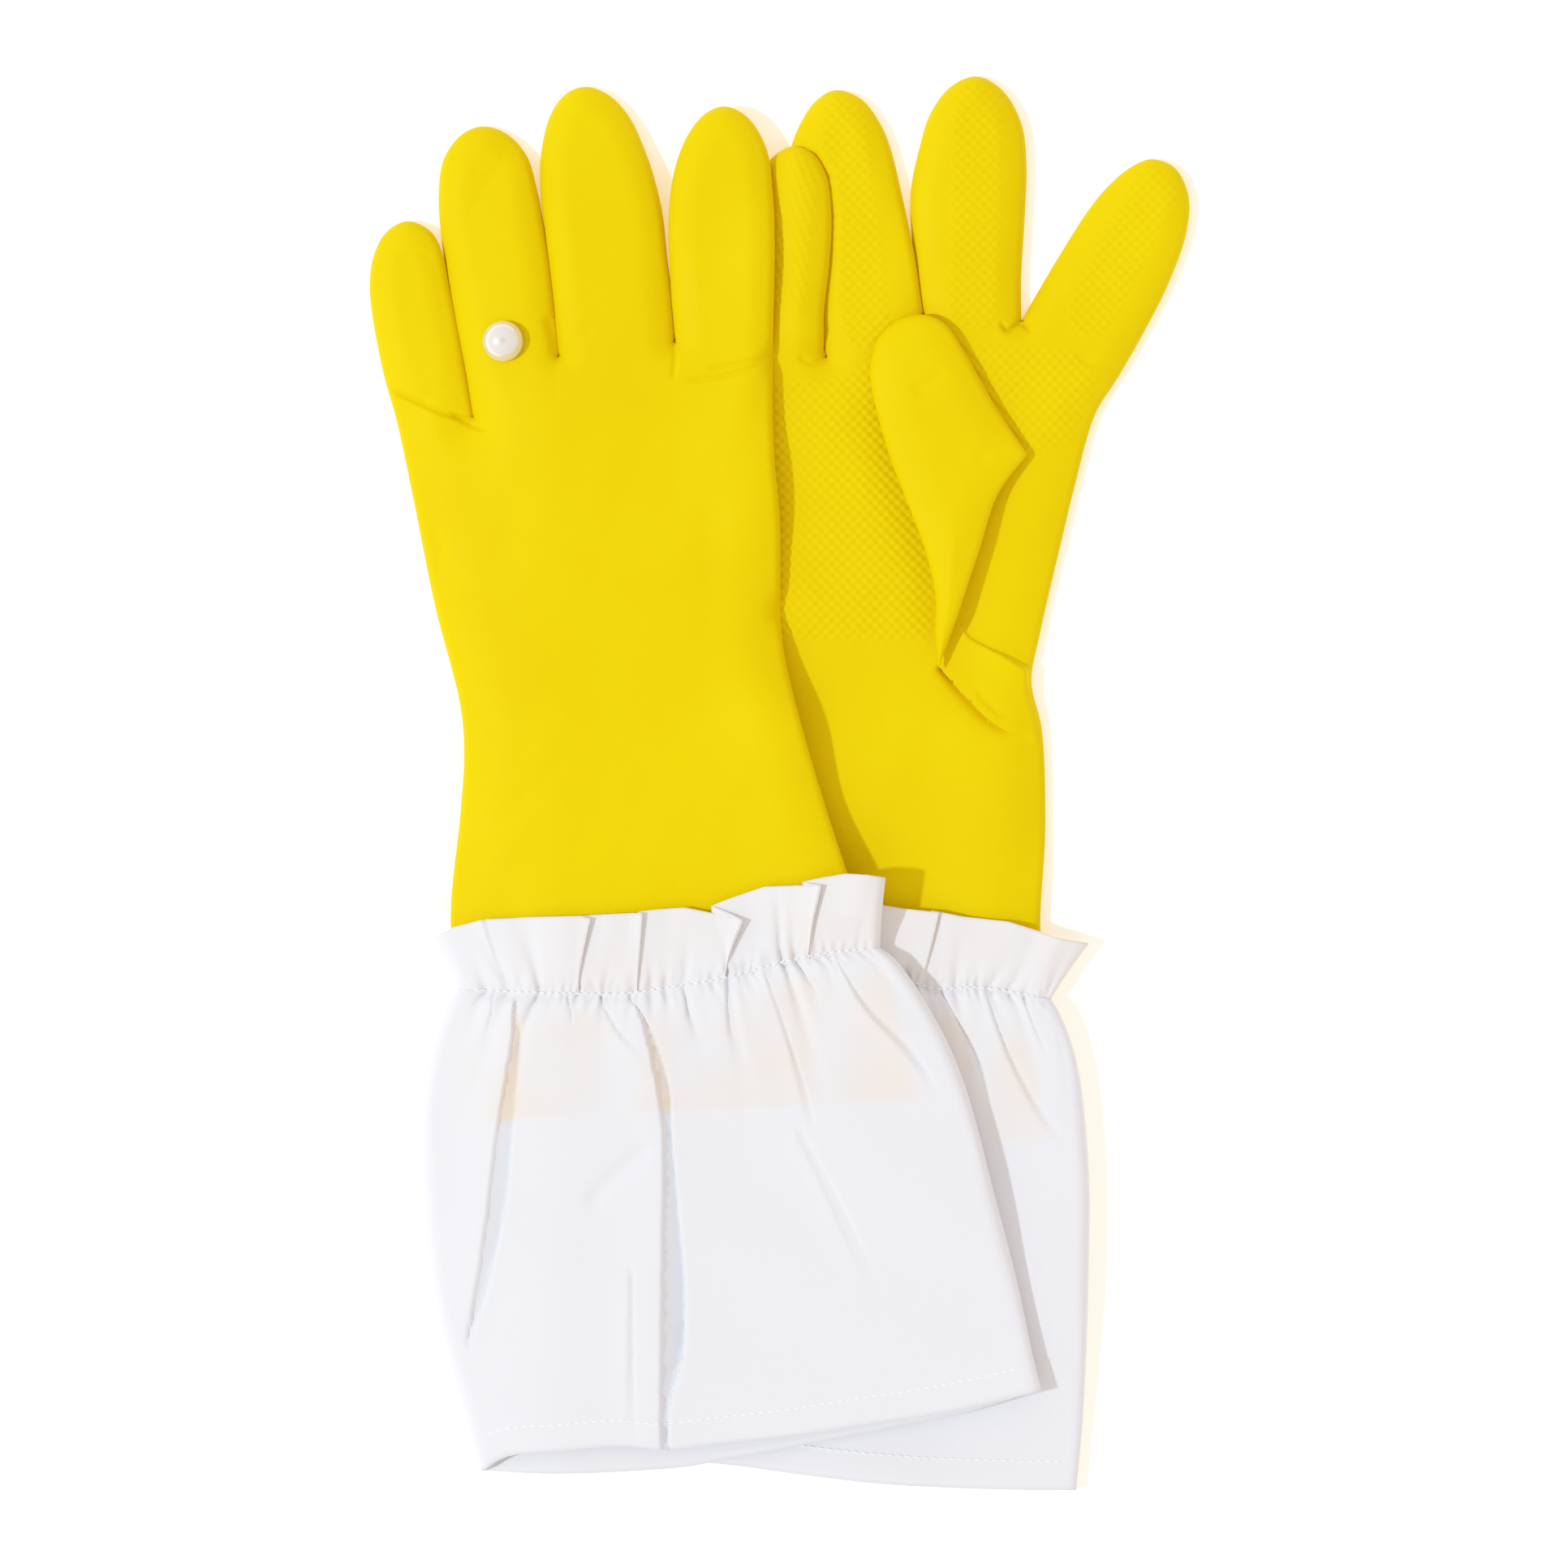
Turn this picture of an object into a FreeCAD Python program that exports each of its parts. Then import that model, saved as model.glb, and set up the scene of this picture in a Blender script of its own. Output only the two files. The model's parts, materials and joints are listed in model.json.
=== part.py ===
import FreeCAD, Part

import math
import os

# A pair of household rubber gloves with frilled fabric sleeves. The right glove lies palm up on the
# floor, and the left glove lies across it, palm down. +Y is towards the fingertips, +Z is up, and the
# origin is under the middle of the pair. All sizes are millimetres.

V = FreeCAD.Vector

# Driving dimensions
RUBBER_WALL = 0.8         # dipped rubber skin
PALM_THICK = 7.5          # a glove lying flat, both skins and the air between them
CUFF_THICK = 6.2          # the rubber gauntlet inside its sleeve
THUMB_THICK = 7.0
FABRIC_WALL = 0.6         # sleeve cloth
SLEEVE_THICK = 8.6        # a sleeve lying flat
GATHER_THICK = 8.2        # the sleeve where its elastic draws it in
ELASTIC_WALL = 0.25
ELASTIC_WIDTH = 5.0
FABRIC_GAP = 0.1          # between the cloth and the elastic inside it
THREAD = 0.4              # sewing thread
THREAD_GAP = 0.02         # between a row of stitches and the cloth
HEM_WALL = 1.2            # three layers of cloth
BEAD_WALL = 1.2           # rolled edge of the rubber
BEAD_WIDTH = 2.4
CLEAR = 0.4               # between the two gloves
PRESS = 0.12              # how far the lower glove's skin is pressed flat by the floor
FOLD_GAP = 0.3            # between a finger's root and the palm
PEARL_DIAMETER = 11.8
POST_DIAMETER = 2.4
BACKING_DIAMETER = 9.0
BACKING_THICK = 0.9
PEARL_SEAT = 0.25         # between the pearl or its backing and the skin
PEARL_SHOWING = 0.15      # height of the half pearl's middle over its seat, in radii
POST_REACH = 0.6          # how far the post goes into the pearl, in radii

# The left glove slopes up from the floor at FLOOR_X to lie on the right glove from STACK_X on.
FLOOR_X = -118.0
STACK_X = -60.0
STACK_PALM = PALM_THICK - PRESS + CLEAR
STACK_SLEEVE = SLEEVE_THICK - PRESS + CLEAR

FLATNESS = 3.0            # power of the superellipse that each section is
ARC_STEPS = 12
REACH = 300.0             # further out than any part of the pair

# Outlines, each as pairs of points on the left and right edges, from the cuff towards the fingers.
LEFT = {
    "name": "left",
    "palm_side": -1,
    "lift": (STACK_PALM, STACK_SLEEVE),
    "cuff": [((-97, -100), (45, -90)), ((-91, -60.5), (26.5, -48.5)), ((-93, -30), (20, -25))],
    "palm": [((-92, -11), (13, -5)), ((-92, 9), (7, 16)), ((-98, 41), (1, 41)), ((-104, 69), (0, 76)),
             ((-108, 95), (-2, 104)), ((-115, 123), (-2, 131)), ((-119, 138), (-1, 146))],
    "frill": [((-93.5, -60), (30, -48)), ((-96, -53), (31, -38)), ((-99, -44), (30.5, -27))],
    "upper": [((-103, -104), (59, -95)), ((-101, -83), (51.5, -79)), ((-93.5, -60.5), (30, -48.5))],
    "skirt": [((-88, -190), (74, -167)), ((-98, -159), (71.5, -152)), ((-102, -130), (65.5, -126)),
              ((-103, -104.5), (59, -95.5))],
    "hem": [((-86.5, -199.5), (75.5, -175)), ((-88, -190.5), (74, -167.5))],
    "thumb_mirror": 9.0,
}
RIGHT = {
    "name": "right",
    "palm_side": 1,
    "lift": (-PRESS, -PRESS),
    "cuff": [((-52, -96), (80, -105)), ((-41.5, -52.5), (75.5, -62)), ((-34, -30), (77, -32))],
    "palm": [((-26, -8), (77, -8)), ((-22, 18), (75, 15)), ((-21, 41), (75, 41)), ((-19, 74), (83, 69)),
             ((-17, 100), (90, 95)), ((-11, 123), (98, 116)), ((-10, 136), (106, 131)),
             ((-9, 148), (112, 146))],
    "frill": [((-44, -52), (78, -62)), ((-47, -44), (84, -54)), ((-49, -33), (88.5, -46.5))],
    "upper": [((-56, -99), (89, -108)), ((-50, -76), (86, -81)), ((-44, -52.5), (78, -62.5))],
    "skirt": [((-61, -186), (87, -196)), ((-60, -159), (89, -170)), ((-59, -130), (89.5, -140)),
              ((-56, -99.5), (89, -108.5))],
    "hem": [((-60, -195), (86, -205.2)), ((-61, -186.5), (87, -196.5))],
    "thumb_mirror": None,
}

# Each finger: its root's centre and height, its tip and the height there, its width at the root and
# near the tip, its thickness, how far it leans over sideways in degrees, and whether it folds up.
FINGERS = {
    "left": {
        "little": ((-102.4, 112.8), 5.5, (-109.6, 162.9), 4.9, 22.4, 22.2, 7.5, 9.5, True),
        "ring": ((-78.3, 135.1), 9.8, (-86.3, 190.3), 5.4, 26.6, 27.4, 7.5, 10.0, True),
        "middle": ((-48.3, 134.0), 11.65, (-56.4, 202.1), 5.2, 31.2, 30.0, 7.5, 0.0, True),
        "index": ((-16.2, 134.0), 11.65, (-16.4, 196.0), 11.4, 29.6, 28.4, 7.5, 0.0, True),
    },
    "right": {
        "little": ((1.4, 126.0), 6.3, (5.2, 184.5), 9.0, 24.4, 23.4, 6.8, 22.0, False),
        "ring": ((26.6, 130.0), 3.4, (17.4, 200.9), 3.4, 26.8, 28.4, 7.0, 0.0, False),
        "middle": ((55.7, 142.6), 3.65, (57.3, 205.2), 3.65, 32.0, 31.0, 7.5, 0.0, True),
        "index": ((87.4, 132.3), 3.65, (110.8, 179.8), 3.65, 31.0, 30.0, 7.5, 0.0, True),
    },
}
# Where the palm ends at each finger's root.
ROOT_LINES = {
    "left": [((-118.0, 110.7), (-91.0, 113.6)), ((-91.9, 132.5), (-64.8, 136.5)),
             ((-64.3, 131.5), (-32.0, 135.3)), ((-31.6, 133.8), (0.0, 133.8))],
    "right": [((-20.0, 125.0), (12.6, 124.2)), ((12.9, 128.0), (40.6, 131.2)),
              ((40.9, 142.6), (72.2, 142.2)), ((73.5, 139.4), (109.9, 120.6))],
}

# The right thumb's outline on the palm, from its root to its tip, and the hood that joins it to the
# palm. The left thumb is its mirror image.
THUMB_EDGES = [((44.5, 39), (62, 39)), ((43, 58), (61, 58)), ((36.5, 82), (66, 82)), ((32, 95), (71, 95)),
               ((29, 105), (66, 105)), ((26.5, 117), (58, 117)), ((28, 127), (51, 127)),
               ((33, 132.5), (46.5, 132.5)), ((37.5, 134.8), (42, 134.8))]
THUMB_ROUNDING = [1.0, 1.0, 1.0, 1.0, 1.0, 1.0, 0.95, 0.75, 0.4]
THUMB_HOLLOW_TO = 0.7     # the thumb is hollow where its rounding is more than this
HOOD_EDGES = [((44.5, 38.5), (62, 38.5)), ((43.5, 31), (67, 31)), ((44, 23), (71, 23)), ((49, 16), (69, 16))]
HOOD_HEIGHTS = [7.0, 6.2, 4.2, 1.4]
HOOD_GAP = 0.1
HOOD_OPENING = ((54.0, 29.5), 7.0, 5.5)
PEARL_PLACE = (-79.7, 127.6)


def smooth(t):
    """A soft step from 0 to 1."""
    t = min(max(t, 0.0), 1.0)
    return t * t * (3.0 - 2.0 * t)


def rise(x):
    """How much of the full lift the left glove has at x."""
    return smooth((x - FLOOR_X) / (STACK_X - FLOOR_X))


def section_points(station, inset, side):
    """Points along half of a flattened tube's section, from its left edge to its right edge."""
    (left, right), thick, low, lift = station
    half_width = math.dist(left, right) / 2.0
    points = []
    for step in range(ARC_STEPS + 1):
        angle = math.pi * (1.0 - step / ARC_STEPS)
        reach = abs(math.cos(angle)) ** (2.0 / FLATNESS) * (half_width - inset) / half_width
        across = 0.5 + 0.5 * math.copysign(reach, math.cos(angle))
        height = (thick / 2.0 - inset) * abs(math.sin(angle)) ** (2.0 / FLATNESS)
        x = left[0] + (right[0] - left[0]) * across
        y = left[1] + (right[1] - left[1]) * across
        points.append(V(x, y, low + lift * rise(x) + side * height))
    return points


def curve_through(points):
    """A smooth edge through the points, in their order."""
    curve = Part.BSplineCurve()
    curve.interpolate(points)
    return curve.toShape()


def half_shell(stations, wall, side):
    """The upper (side 1) or lower (side -1) skin of a flattened tube."""
    wires = []
    for station in stations:
        outer = section_points(station, 0.0, side)
        inner = section_points(station, wall, side)[::-1]
        wires.append(Part.Wire([curve_through(outer), Part.makeLine(outer[-1], inner[0]),
                                curve_through(inner), Part.makeLine(inner[-1], outer[0])]))
    return Part.makeLoft(wires, True, True)


def tube_solid(stations, inset):
    """A flattened tube filled solid, smaller by the inset all round."""
    wires = []
    for station in stations:
        upper = section_points(station, inset, 1)
        lower = section_points(station, inset, -1)[::-1]
        wires.append(Part.Wire([curve_through(upper), curve_through(lower)]))
    return Part.makeLoft(wires, True, True)


def ring(stations, outer_inset, inner_inset):
    """A flattened ring, open at both ends."""
    return tube_solid(stations, outer_inset).cut(tube_solid(stations, inner_inset))


def stations_of(pairs, thick, low, lift):
    """Stations of one thickness along a list of edge pairs."""
    return [(pair, thick, low, lift) for pair in pairs]


def between(pairs, share):
    """The edge pair at a share of the way from the first pair to the second."""
    mixed = []
    for a, b in zip(pairs[0], pairs[1]):
        mixed.append((a[0] + (b[0] - a[0]) * share, a[1] + (b[1] - a[1]) * share))
    return tuple(mixed)


def glove_stations(glove):
    """The rubber body's stations, from the gauntlet's end to the fingers' roots."""
    lift_palm, lift_sleeve = glove["lift"]
    cuff = stations_of(glove["cuff"], CUFF_THICK, SLEEVE_THICK / 2.0, lift_sleeve)
    palm = stations_of(glove["palm"], PALM_THICK, PALM_THICK / 2.0, lift_palm)
    return cuff + palm


def palm_outline(name):
    """A tall prism that holds the palm up to the fingers' roots."""
    lines = ROOT_LINES[name]
    corners = [(-REACH, -REACH), (-REACH, lines[0][0][1])]
    for left, right in lines:
        corners += [left, right]
    corners += [(REACH, lines[-1][1][1]), (REACH, -REACH)]
    points = [V(x, y, -REACH) for x, y in corners]
    face = Part.Face(Part.makePolygon(points + points[:1]))
    return face.extrude(V(0, 0, 2.0 * REACH))


def hood_opening(glove):
    """The way from the palm into the thumb."""
    (x, y), half_width, half_length = HOOD_OPENING
    if glove["thumb_mirror"] is not None:
        x = glove["thumb_mirror"] - x
    circle = Part.makeCylinder(1.0, 2.0 * REACH, V(0, 0, -REACH))
    matrix = FreeCAD.Matrix()
    matrix.scale(half_width, half_length, 1.0)
    opening = circle.transformGeometry(matrix)
    opening.translate(V(x, y, 0))
    return opening


def palm_panels(glove):
    """The palm-side and back-side skins of the hand and gauntlet."""
    stations = glove_stations(glove)
    outline = palm_outline(glove["name"])
    palm = half_shell(stations, RUBBER_WALL, glove["palm_side"]).common(outline).cut(hood_opening(glove))
    back = half_shell(stations, RUBBER_WALL, -glove["palm_side"]).common(outline)
    return {"palm_panel": palm, "back_panel": back}


def cuff_bead(glove):
    """The rolled edge at the end of the gauntlet."""
    pair = glove["cuff"][0]
    length = math.dist(glove["cuff"][0][0], glove["cuff"][1][0])
    end = between(glove["cuff"], -BEAD_WIDTH / length)
    stations = stations_of([end, pair], CUFF_THICK + 2.0 * (BEAD_WALL - RUBBER_WALL),
                           SLEEVE_THICK / 2.0, glove["lift"][1])
    return ring(stations, 0.0, BEAD_WALL)


def finger_blank(length, root_width, tip_width, thick, inset):
    """A flattened finger along +Y with a round tip, smaller by the inset all round."""
    root = root_width / 2.0 - inset
    tip = tip_width / 2.0 - inset
    tip_start = length - tip_width / 2.0
    root_start = FOLD_GAP if inset == 0.0 else -FOLD_GAP
    half = math.sqrt(0.5) * tip
    base = V(0, root_start, 0)
    corner = V(root, root_start, 0)
    side = V(tip, tip_start, 0)
    end = V(0, tip_start + tip, 0)
    arc = Part.Arc(side, V(half, tip_start + half, 0), end).toShape()
    edges = [Part.makeLine(base, corner), Part.makeLine(corner, side), arc, Part.makeLine(end, base)]
    profile = Part.Face(Part.Wire(edges))
    round_finger = profile.revolve(V(0, 0, 0), V(0, 1, 0), 360.0)
    matrix = FreeCAD.Matrix()
    matrix.scale(1.0, 1.0, (thick / 2.0 - inset) / max(root, tip))
    return round_finger.transformGeometry(matrix)


def finger_placement(spec):
    """Where a finger's own frame is: X across it, Y along it, Z through it."""
    (x, y), z, (tip_x, tip_y), tip_z = spec[:4]
    lean = spec[7]
    heading = math.degrees(math.atan2(x - tip_x, tip_y - y))
    pitch = math.degrees(math.atan2(tip_z - z, math.dist((x, y), (tip_x, tip_y))))
    turn = FreeCAD.Rotation(V(0, 0, 1), heading)
    turn = turn.multiply(FreeCAD.Rotation(V(1, 0, 0), pitch))
    turn = turn.multiply(FreeCAD.Rotation(V(0, 1, 0), -lean))
    return FreeCAD.Placement(V(x, y, z), turn)


def finger(spec):
    """A hollow finger, open at its root."""
    (x, y), z, (tip_x, tip_y), tip_z, root_width, tip_width, thick = spec[:7]
    length = math.dist((x, y, z), (tip_x, tip_y, tip_z))
    outer = finger_blank(length, root_width, tip_width, thick, 0.0)
    hollow = finger_blank(length, root_width, tip_width, thick, RUBBER_WALL)
    shape = outer.cut(hollow)
    shape.Placement = finger_placement(spec)
    return shape


def mirrored(pair, glove):
    """An edge pair of the right thumb, moved to the glove that is asked for."""
    if glove["thumb_mirror"] is None:
        return pair
    (left_x, left_y), (right_x, right_y) = pair
    return ((glove["thumb_mirror"] - right_x, right_y), (glove["thumb_mirror"] - left_x, left_y))


def thumb_level(glove):
    """The height of the thumb's middle: on the right palm, or on the floor under the left one."""
    if glove["palm_side"] > 0:
        return STACK_PALM + THUMB_THICK / 2.0
    return THUMB_THICK / 2.0


def thumb(glove):
    """The hollow thumb, folded flat against the palm, open at its root."""
    level = thumb_level(glove)
    outer = []
    inner = []
    for pair, share in zip(THUMB_EDGES, THUMB_ROUNDING):
        placed = mirrored(pair, glove)
        outer.append((placed, THUMB_THICK * share, level, 0.0))
        if share > THUMB_HOLLOW_TO:
            inner.append((placed, THUMB_THICK * share, level, 0.0))
    inner[0] = along(inner, -FOLD_GAP)
    return tube_solid(outer, 0.0).cut(tube_solid(inner, RUBBER_WALL))


def thumb_hood(glove):
    """The fold of skin that carries the palm on into the thumb."""
    foot = STACK_PALM - CLEAR + HOOD_GAP if glove["palm_side"] > 0 else STACK_PALM - HOOD_GAP
    stations = []
    for pair, height in zip(HOOD_EDGES, HOOD_HEIGHTS):
        stations.append((mirrored(pair, glove), 2.0 * height, foot, 0.0))
    return half_shell(stations, RUBBER_WALL, glove["palm_side"])


def sleeve(glove):
    """The frilled fabric sleeve, its elastic, its hem and its threads."""
    lift = glove["lift"][1]
    middle = SLEEVE_THICK / 2.0
    cloth = {part: stations_of(glove[part], SLEEVE_THICK, middle, lift)
             for part in ("frill", "upper", "skirt")}
    cloth["hem"] = stations_of(glove["hem"], GATHER_THICK, middle, lift)
    cloth["frill"][0] = (glove["frill"][0], GATHER_THICK, middle, lift)
    cloth["upper"][-1] = (glove["upper"][-1], GATHER_THICK, middle, lift)
    pieces = {}
    for side, word in ((1, "top"), (-1, "under")):
        pieces["frill_" + word] = half_shell(cloth["frill"], FABRIC_WALL, side)
        pieces["sleeve_upper_" + word] = half_shell(cloth["upper"], FABRIC_WALL, side)
        pieces["sleeve_skirt_" + word] = half_shell(cloth["skirt"], FABRIC_WALL, side)
    pieces["sleeve_hem"] = ring(cloth["hem"], 0.0, HEM_WALL)
    below, above = cloth["upper"][::-1], cloth["frill"]
    elastic_band = [along(below, ELASTIC_WIDTH / 2.0), above[0], along(above, ELASTIC_WIDTH / 2.0)]
    inside = FABRIC_WALL + FABRIC_GAP
    pieces["elastic"] = ring(elastic_band, inside, inside + ELASTIC_WALL)
    stitches = [along(below, THREAD), above[0], along(above, THREAD)]
    outside = -THREAD_GAP - THREAD / 2.0
    pieces["gather_thread"] = ring(stitches, outside, -THREAD_GAP)
    hem_edge = cloth["hem"][::-1]
    stitches = [along(hem_edge, THREAD), along(hem_edge, 3.0 * THREAD)]
    pieces["hem_thread"] = ring(stitches, outside, -THREAD_GAP)
    return pieces


def along(stations, distance):
    """The station at a distance from the first one, towards the second."""
    (first, *sizes), (second, *other_sizes) = stations[:2]
    share = distance / math.dist(first[0], second[0])
    mixed = [a + (b - a) * share for a, b in zip(sizes, other_sizes)]
    return (between((first, second), share), *mixed)


def pearl_setting():
    """The half pearl on the back of the left ring finger's root, its post, and its backing plate inside."""
    x, y = PEARL_PLACE
    step = 1.0
    slope = STACK_PALM * (rise(x + step) - rise(x - step)) / (2.0 * step)
    radius = PEARL_DIAMETER / 2.0
    sphere = Part.makeSphere(radius, V(0, 0, PEARL_SEAT + radius * PEARL_SHOWING))
    below = Part.makeBox(4 * radius, 4 * radius, 4 * radius,
                         V(-2 * radius, -2 * radius, PEARL_SEAT - 4 * radius))
    backing_top = -RUBBER_WALL - PEARL_SEAT
    post_top = PEARL_SEAT + radius * POST_REACH
    post = Part.makeCylinder(POST_DIAMETER / 2.0, post_top - backing_top, V(0, 0, backing_top))
    backing = Part.makeCylinder(BACKING_DIAMETER / 2.0, BACKING_THICK, V(0, 0, backing_top - BACKING_THICK))
    pieces = {"pearl": sphere.cut(below).cut(post), "pearl_post": post, "pearl_backing": backing}
    tilt = FreeCAD.Rotation(V(0, 1, 0), -math.degrees(math.atan(slope)))
    for shape in pieces.values():
        shape.Placement = FreeCAD.Placement(V(x, y, STACK_PALM * rise(x) + PALM_THICK), tilt)
    return pieces


def build_glove(glove):
    """Every piece of one glove, by name."""
    pieces = palm_panels(glove)
    pieces["cuff_bead"] = cuff_bead(glove)
    pieces["thumb"] = thumb(glove)
    pieces["thumb_hood"] = thumb_hood(glove)
    for finger_name, spec in FINGERS[glove["name"]].items():
        pieces[finger_name + "_finger"] = finger(spec)
    pieces.update(sleeve(glove))
    return {glove["name"] + "_" + name: shape for name, shape in pieces.items()}


def fold_lines(glove):
    """The lines that the glove's fingers, thumb and sleeve fold about, as a point and a direction."""
    lines = {}
    for finger_name, spec in FINGERS[glove["name"]].items():
        if spec[8]:
            placement = finger_placement(spec)
            lines[finger_name] = (placement.multVec(V(0, 0, spec[6] / 2.0)),
                                  placement.Rotation.multVec(V(1, 0, 0)))
    (left_x, y), (right_x, _) = mirrored(THUMB_EDGES[0], glove)
    up = glove["palm_side"]
    thumb_face = thumb_level(glove) + up * THUMB_THICK / 2.0
    lines["thumb"] = (V((left_x + right_x) / 2.0, y, thumb_face), V(up, 0, 0))
    left, right = between((glove["upper"][0], glove["skirt"][-1]), 0.5)
    middle = V((left[0] + right[0]) / 2.0, (left[1] + right[1]) / 2.0, SLEEVE_THICK + glove["lift"][1])
    lines["sleeve"] = (middle, V(left[0] - right[0], left[1] - right[1], 0).normalize())
    return lines


def main():
    """Write one STEP file for each piece."""
    os.makedirs("parts", exist_ok=True)
    pieces = {**build_glove(RIGHT), **build_glove(LEFT)}
    setting = pearl_setting()
    hole = setting["pearl_post"]
    pieces["left_back_panel"] = pieces["left_back_panel"].cut(hole)
    pieces.update({"left_" + name: shape for name, shape in setting.items()})
    floor = Part.makeBox(2.0 * REACH, 2.0 * REACH, REACH, V(-REACH, -REACH, -REACH))
    for name, shape in pieces.items():
        if name.startswith("right_") and shape.BoundBox.ZMin < 0.0:
            pieces[name] = shape.cut(floor)
    box = FreeCAD.BoundBox()
    for name, shape in pieces.items():
        box.add(shape.optimalBoundingBox(False, False))
        print(name, "valid" if shape.isValid() else "INVALID", len(shape.Solids), round(shape.Volume))
        shape.exportStep("parts/" + name + ".step")
    print("box", [round(value, 2) for value in (box.XMin, box.XMax, box.YMin, box.YMax, box.ZMin, box.ZMax)])
    for glove in (LEFT, RIGHT):
        for name, (point, direction) in fold_lines(glove).items():
            print("fold", glove["name"], name,
                  [round(c, 3) for c in point], [round(c, 5) for c in direction])


main()
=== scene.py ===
import json
import math

import bpy
import numpy as np
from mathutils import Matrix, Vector
from mathutils.geometry import delaunay_2d_cdt
from mathutils.kdtree import KDTree


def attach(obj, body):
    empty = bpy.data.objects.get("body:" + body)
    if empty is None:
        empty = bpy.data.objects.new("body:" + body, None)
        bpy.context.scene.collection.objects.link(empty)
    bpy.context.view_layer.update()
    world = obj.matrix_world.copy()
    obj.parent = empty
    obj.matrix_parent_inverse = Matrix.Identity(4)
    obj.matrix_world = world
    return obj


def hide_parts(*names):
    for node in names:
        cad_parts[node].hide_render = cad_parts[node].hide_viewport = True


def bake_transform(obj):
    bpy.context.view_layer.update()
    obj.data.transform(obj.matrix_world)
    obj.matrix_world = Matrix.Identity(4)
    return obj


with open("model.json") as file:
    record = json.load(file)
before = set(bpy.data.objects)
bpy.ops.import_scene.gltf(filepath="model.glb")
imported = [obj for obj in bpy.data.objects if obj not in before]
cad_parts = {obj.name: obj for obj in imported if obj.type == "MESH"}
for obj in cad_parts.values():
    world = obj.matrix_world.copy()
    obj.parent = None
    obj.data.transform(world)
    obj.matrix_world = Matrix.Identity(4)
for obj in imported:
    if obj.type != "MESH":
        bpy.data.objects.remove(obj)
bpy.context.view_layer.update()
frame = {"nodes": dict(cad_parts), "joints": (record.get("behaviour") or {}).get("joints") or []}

# A pair of household rubber gloves with frilled cotton sleeves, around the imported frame. The right
# glove lies palm up on the floor and the left one lies across it, palm down. Outlines and sizes are
# in millimetres, and every mesh is made in metres.

MM = 0.001

# Heights, as in the frame: the left glove slopes up from the floor at FLOOR_X to STACK_X.
PALM_THICK = 7.5
CUFF_THICK = 6.2
SLEEVE_THICK = 8.6
STACK_PALM = 7.78
STACK_SLEEVE = 8.88
FLOOR_X, STACK_X = -118.0, -60.0
CUFF_TOP, PALM_FOOT = -30.0, -8.0     # the gauntlet's level changes to the palm's between these
SLEEVED_THICK = 3.6      # the gauntlet lies flatter inside the sleeve
SLEEVED_BASE = 0.9       # and this far above the sleeve's underside
SLEEVED_REACH = 14.0     # it begins to flatten this far above the gather

PRESSED_CUFF = 0.8       # the left glove's weight flattens the right one's gauntlet
PRESSED_X, PRESSED_Y = (42.0, 62.0), (-5.0, 60.0)   # which fades out between these
EDGE_RADIUS = 2.1        # the tight fold along a glove's outline
EDGE_HALF = 1.9          # half of the thickness just inside it
FULL_REACH = 15.0        # the palm is full this far from its outline
FULL_FINGER = 8.5        # and a finger this far
FINGERS_FROM = (95.0, 125.0)    # palm changes to fingers between these heights
OUTLINE_STEP = 1.2
COARSE, FINE = 1.8, 0.66  # mesh spacing on plain skin, and on the grip and creases
RING_ANGLES = (18.0, 36.0, 54.0, 72.0, 90.0)

GRIP_ACROSS, GRIP_ALONG = 3.15, 3.25  # pitch of the staggered grip diamonds
GRIP_HEIGHT = 0.55


# ---------------------------------------------------------------- curves and distances

def smooth(t):
    """A soft step from 0 to 1."""
    t = np.clip(t, 0.0, 1.0)
    return t * t * (3.0 - 2.0 * t)


def ramp(value, begin, end):
    """A soft step from 0 at one value to 1 at another."""
    return smooth((value - begin) / (end - begin))


def curve(points, step):
    """Points about a step apart on a smooth curve through the given ones, without the last."""
    p = np.array(points, float)
    p = np.vstack([2 * p[0] - p[1], p, 2 * p[-1] - p[-2]])
    out = []
    for a, b, c, d in zip(p, p[1:], p[2:], p[3:]):
        spans = [math.sqrt(np.linalg.norm(y - x)) for x, y in ((a, b), (b, c), (c, d))]
        t0, t1, t2, t3 = np.cumsum([0.0] + spans)
        count = max(1, round(np.linalg.norm(c - b) / step))
        t = (t1 + (t2 - t1) * np.arange(count) / count)[:, None]
        ab = a + (b - a) * (t - t0) / (t1 - t0)
        bc = b + (c - b) * (t - t1) / (t2 - t1)
        cd = c + (d - c) * (t - t2) / (t3 - t2)
        abc = ab + (bc - ab) * (t - t0) / (t2 - t0)
        bcd = bc + (cd - bc) * (t - t1) / (t3 - t1)
        out.append(abc + (bcd - abc) * (t - t1) / (t2 - t1))
    return np.vstack(out)


class Path:
    """A smooth open line in the plane."""

    def __init__(self, points, step=1.0):
        self.line = np.vstack([curve(points, step), np.array(points[-1], float)])
        steps = np.linalg.norm(np.diff(self.line, axis=0), axis=1)
        self.along = np.concatenate([[0.0], np.cumsum(steps)])
        self.length = self.along[-1]

    def at(self, share):
        """The point at a share of the length."""
        return interpolated(np.asarray(share) * self.length, self.along, self.line)

    def near(self, points):
        """Each point's distance, its side (1 to the left of the line's run) and its share along."""
        best = np.full(len(points), np.inf)
        side = np.zeros(len(points))
        share = np.zeros(len(points))
        for a, b, begin in zip(self.line, self.line[1:], self.along):
            run = b - a
            length = np.linalg.norm(run)
            offset = points - a
            t = np.clip(offset @ run / length ** 2, 0.0, 1.0)
            gap = np.linalg.norm(offset - t[:, None] * run, axis=1)
            closer = gap < best
            best[closer] = gap[closer]
            cross = run[0] * offset[:, 1] - run[1] * offset[:, 0]
            side[closer] = np.sign(cross)[closer]
            share[closer] = (begin + t * length)[closer] / self.length
        return best, side, share


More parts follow.
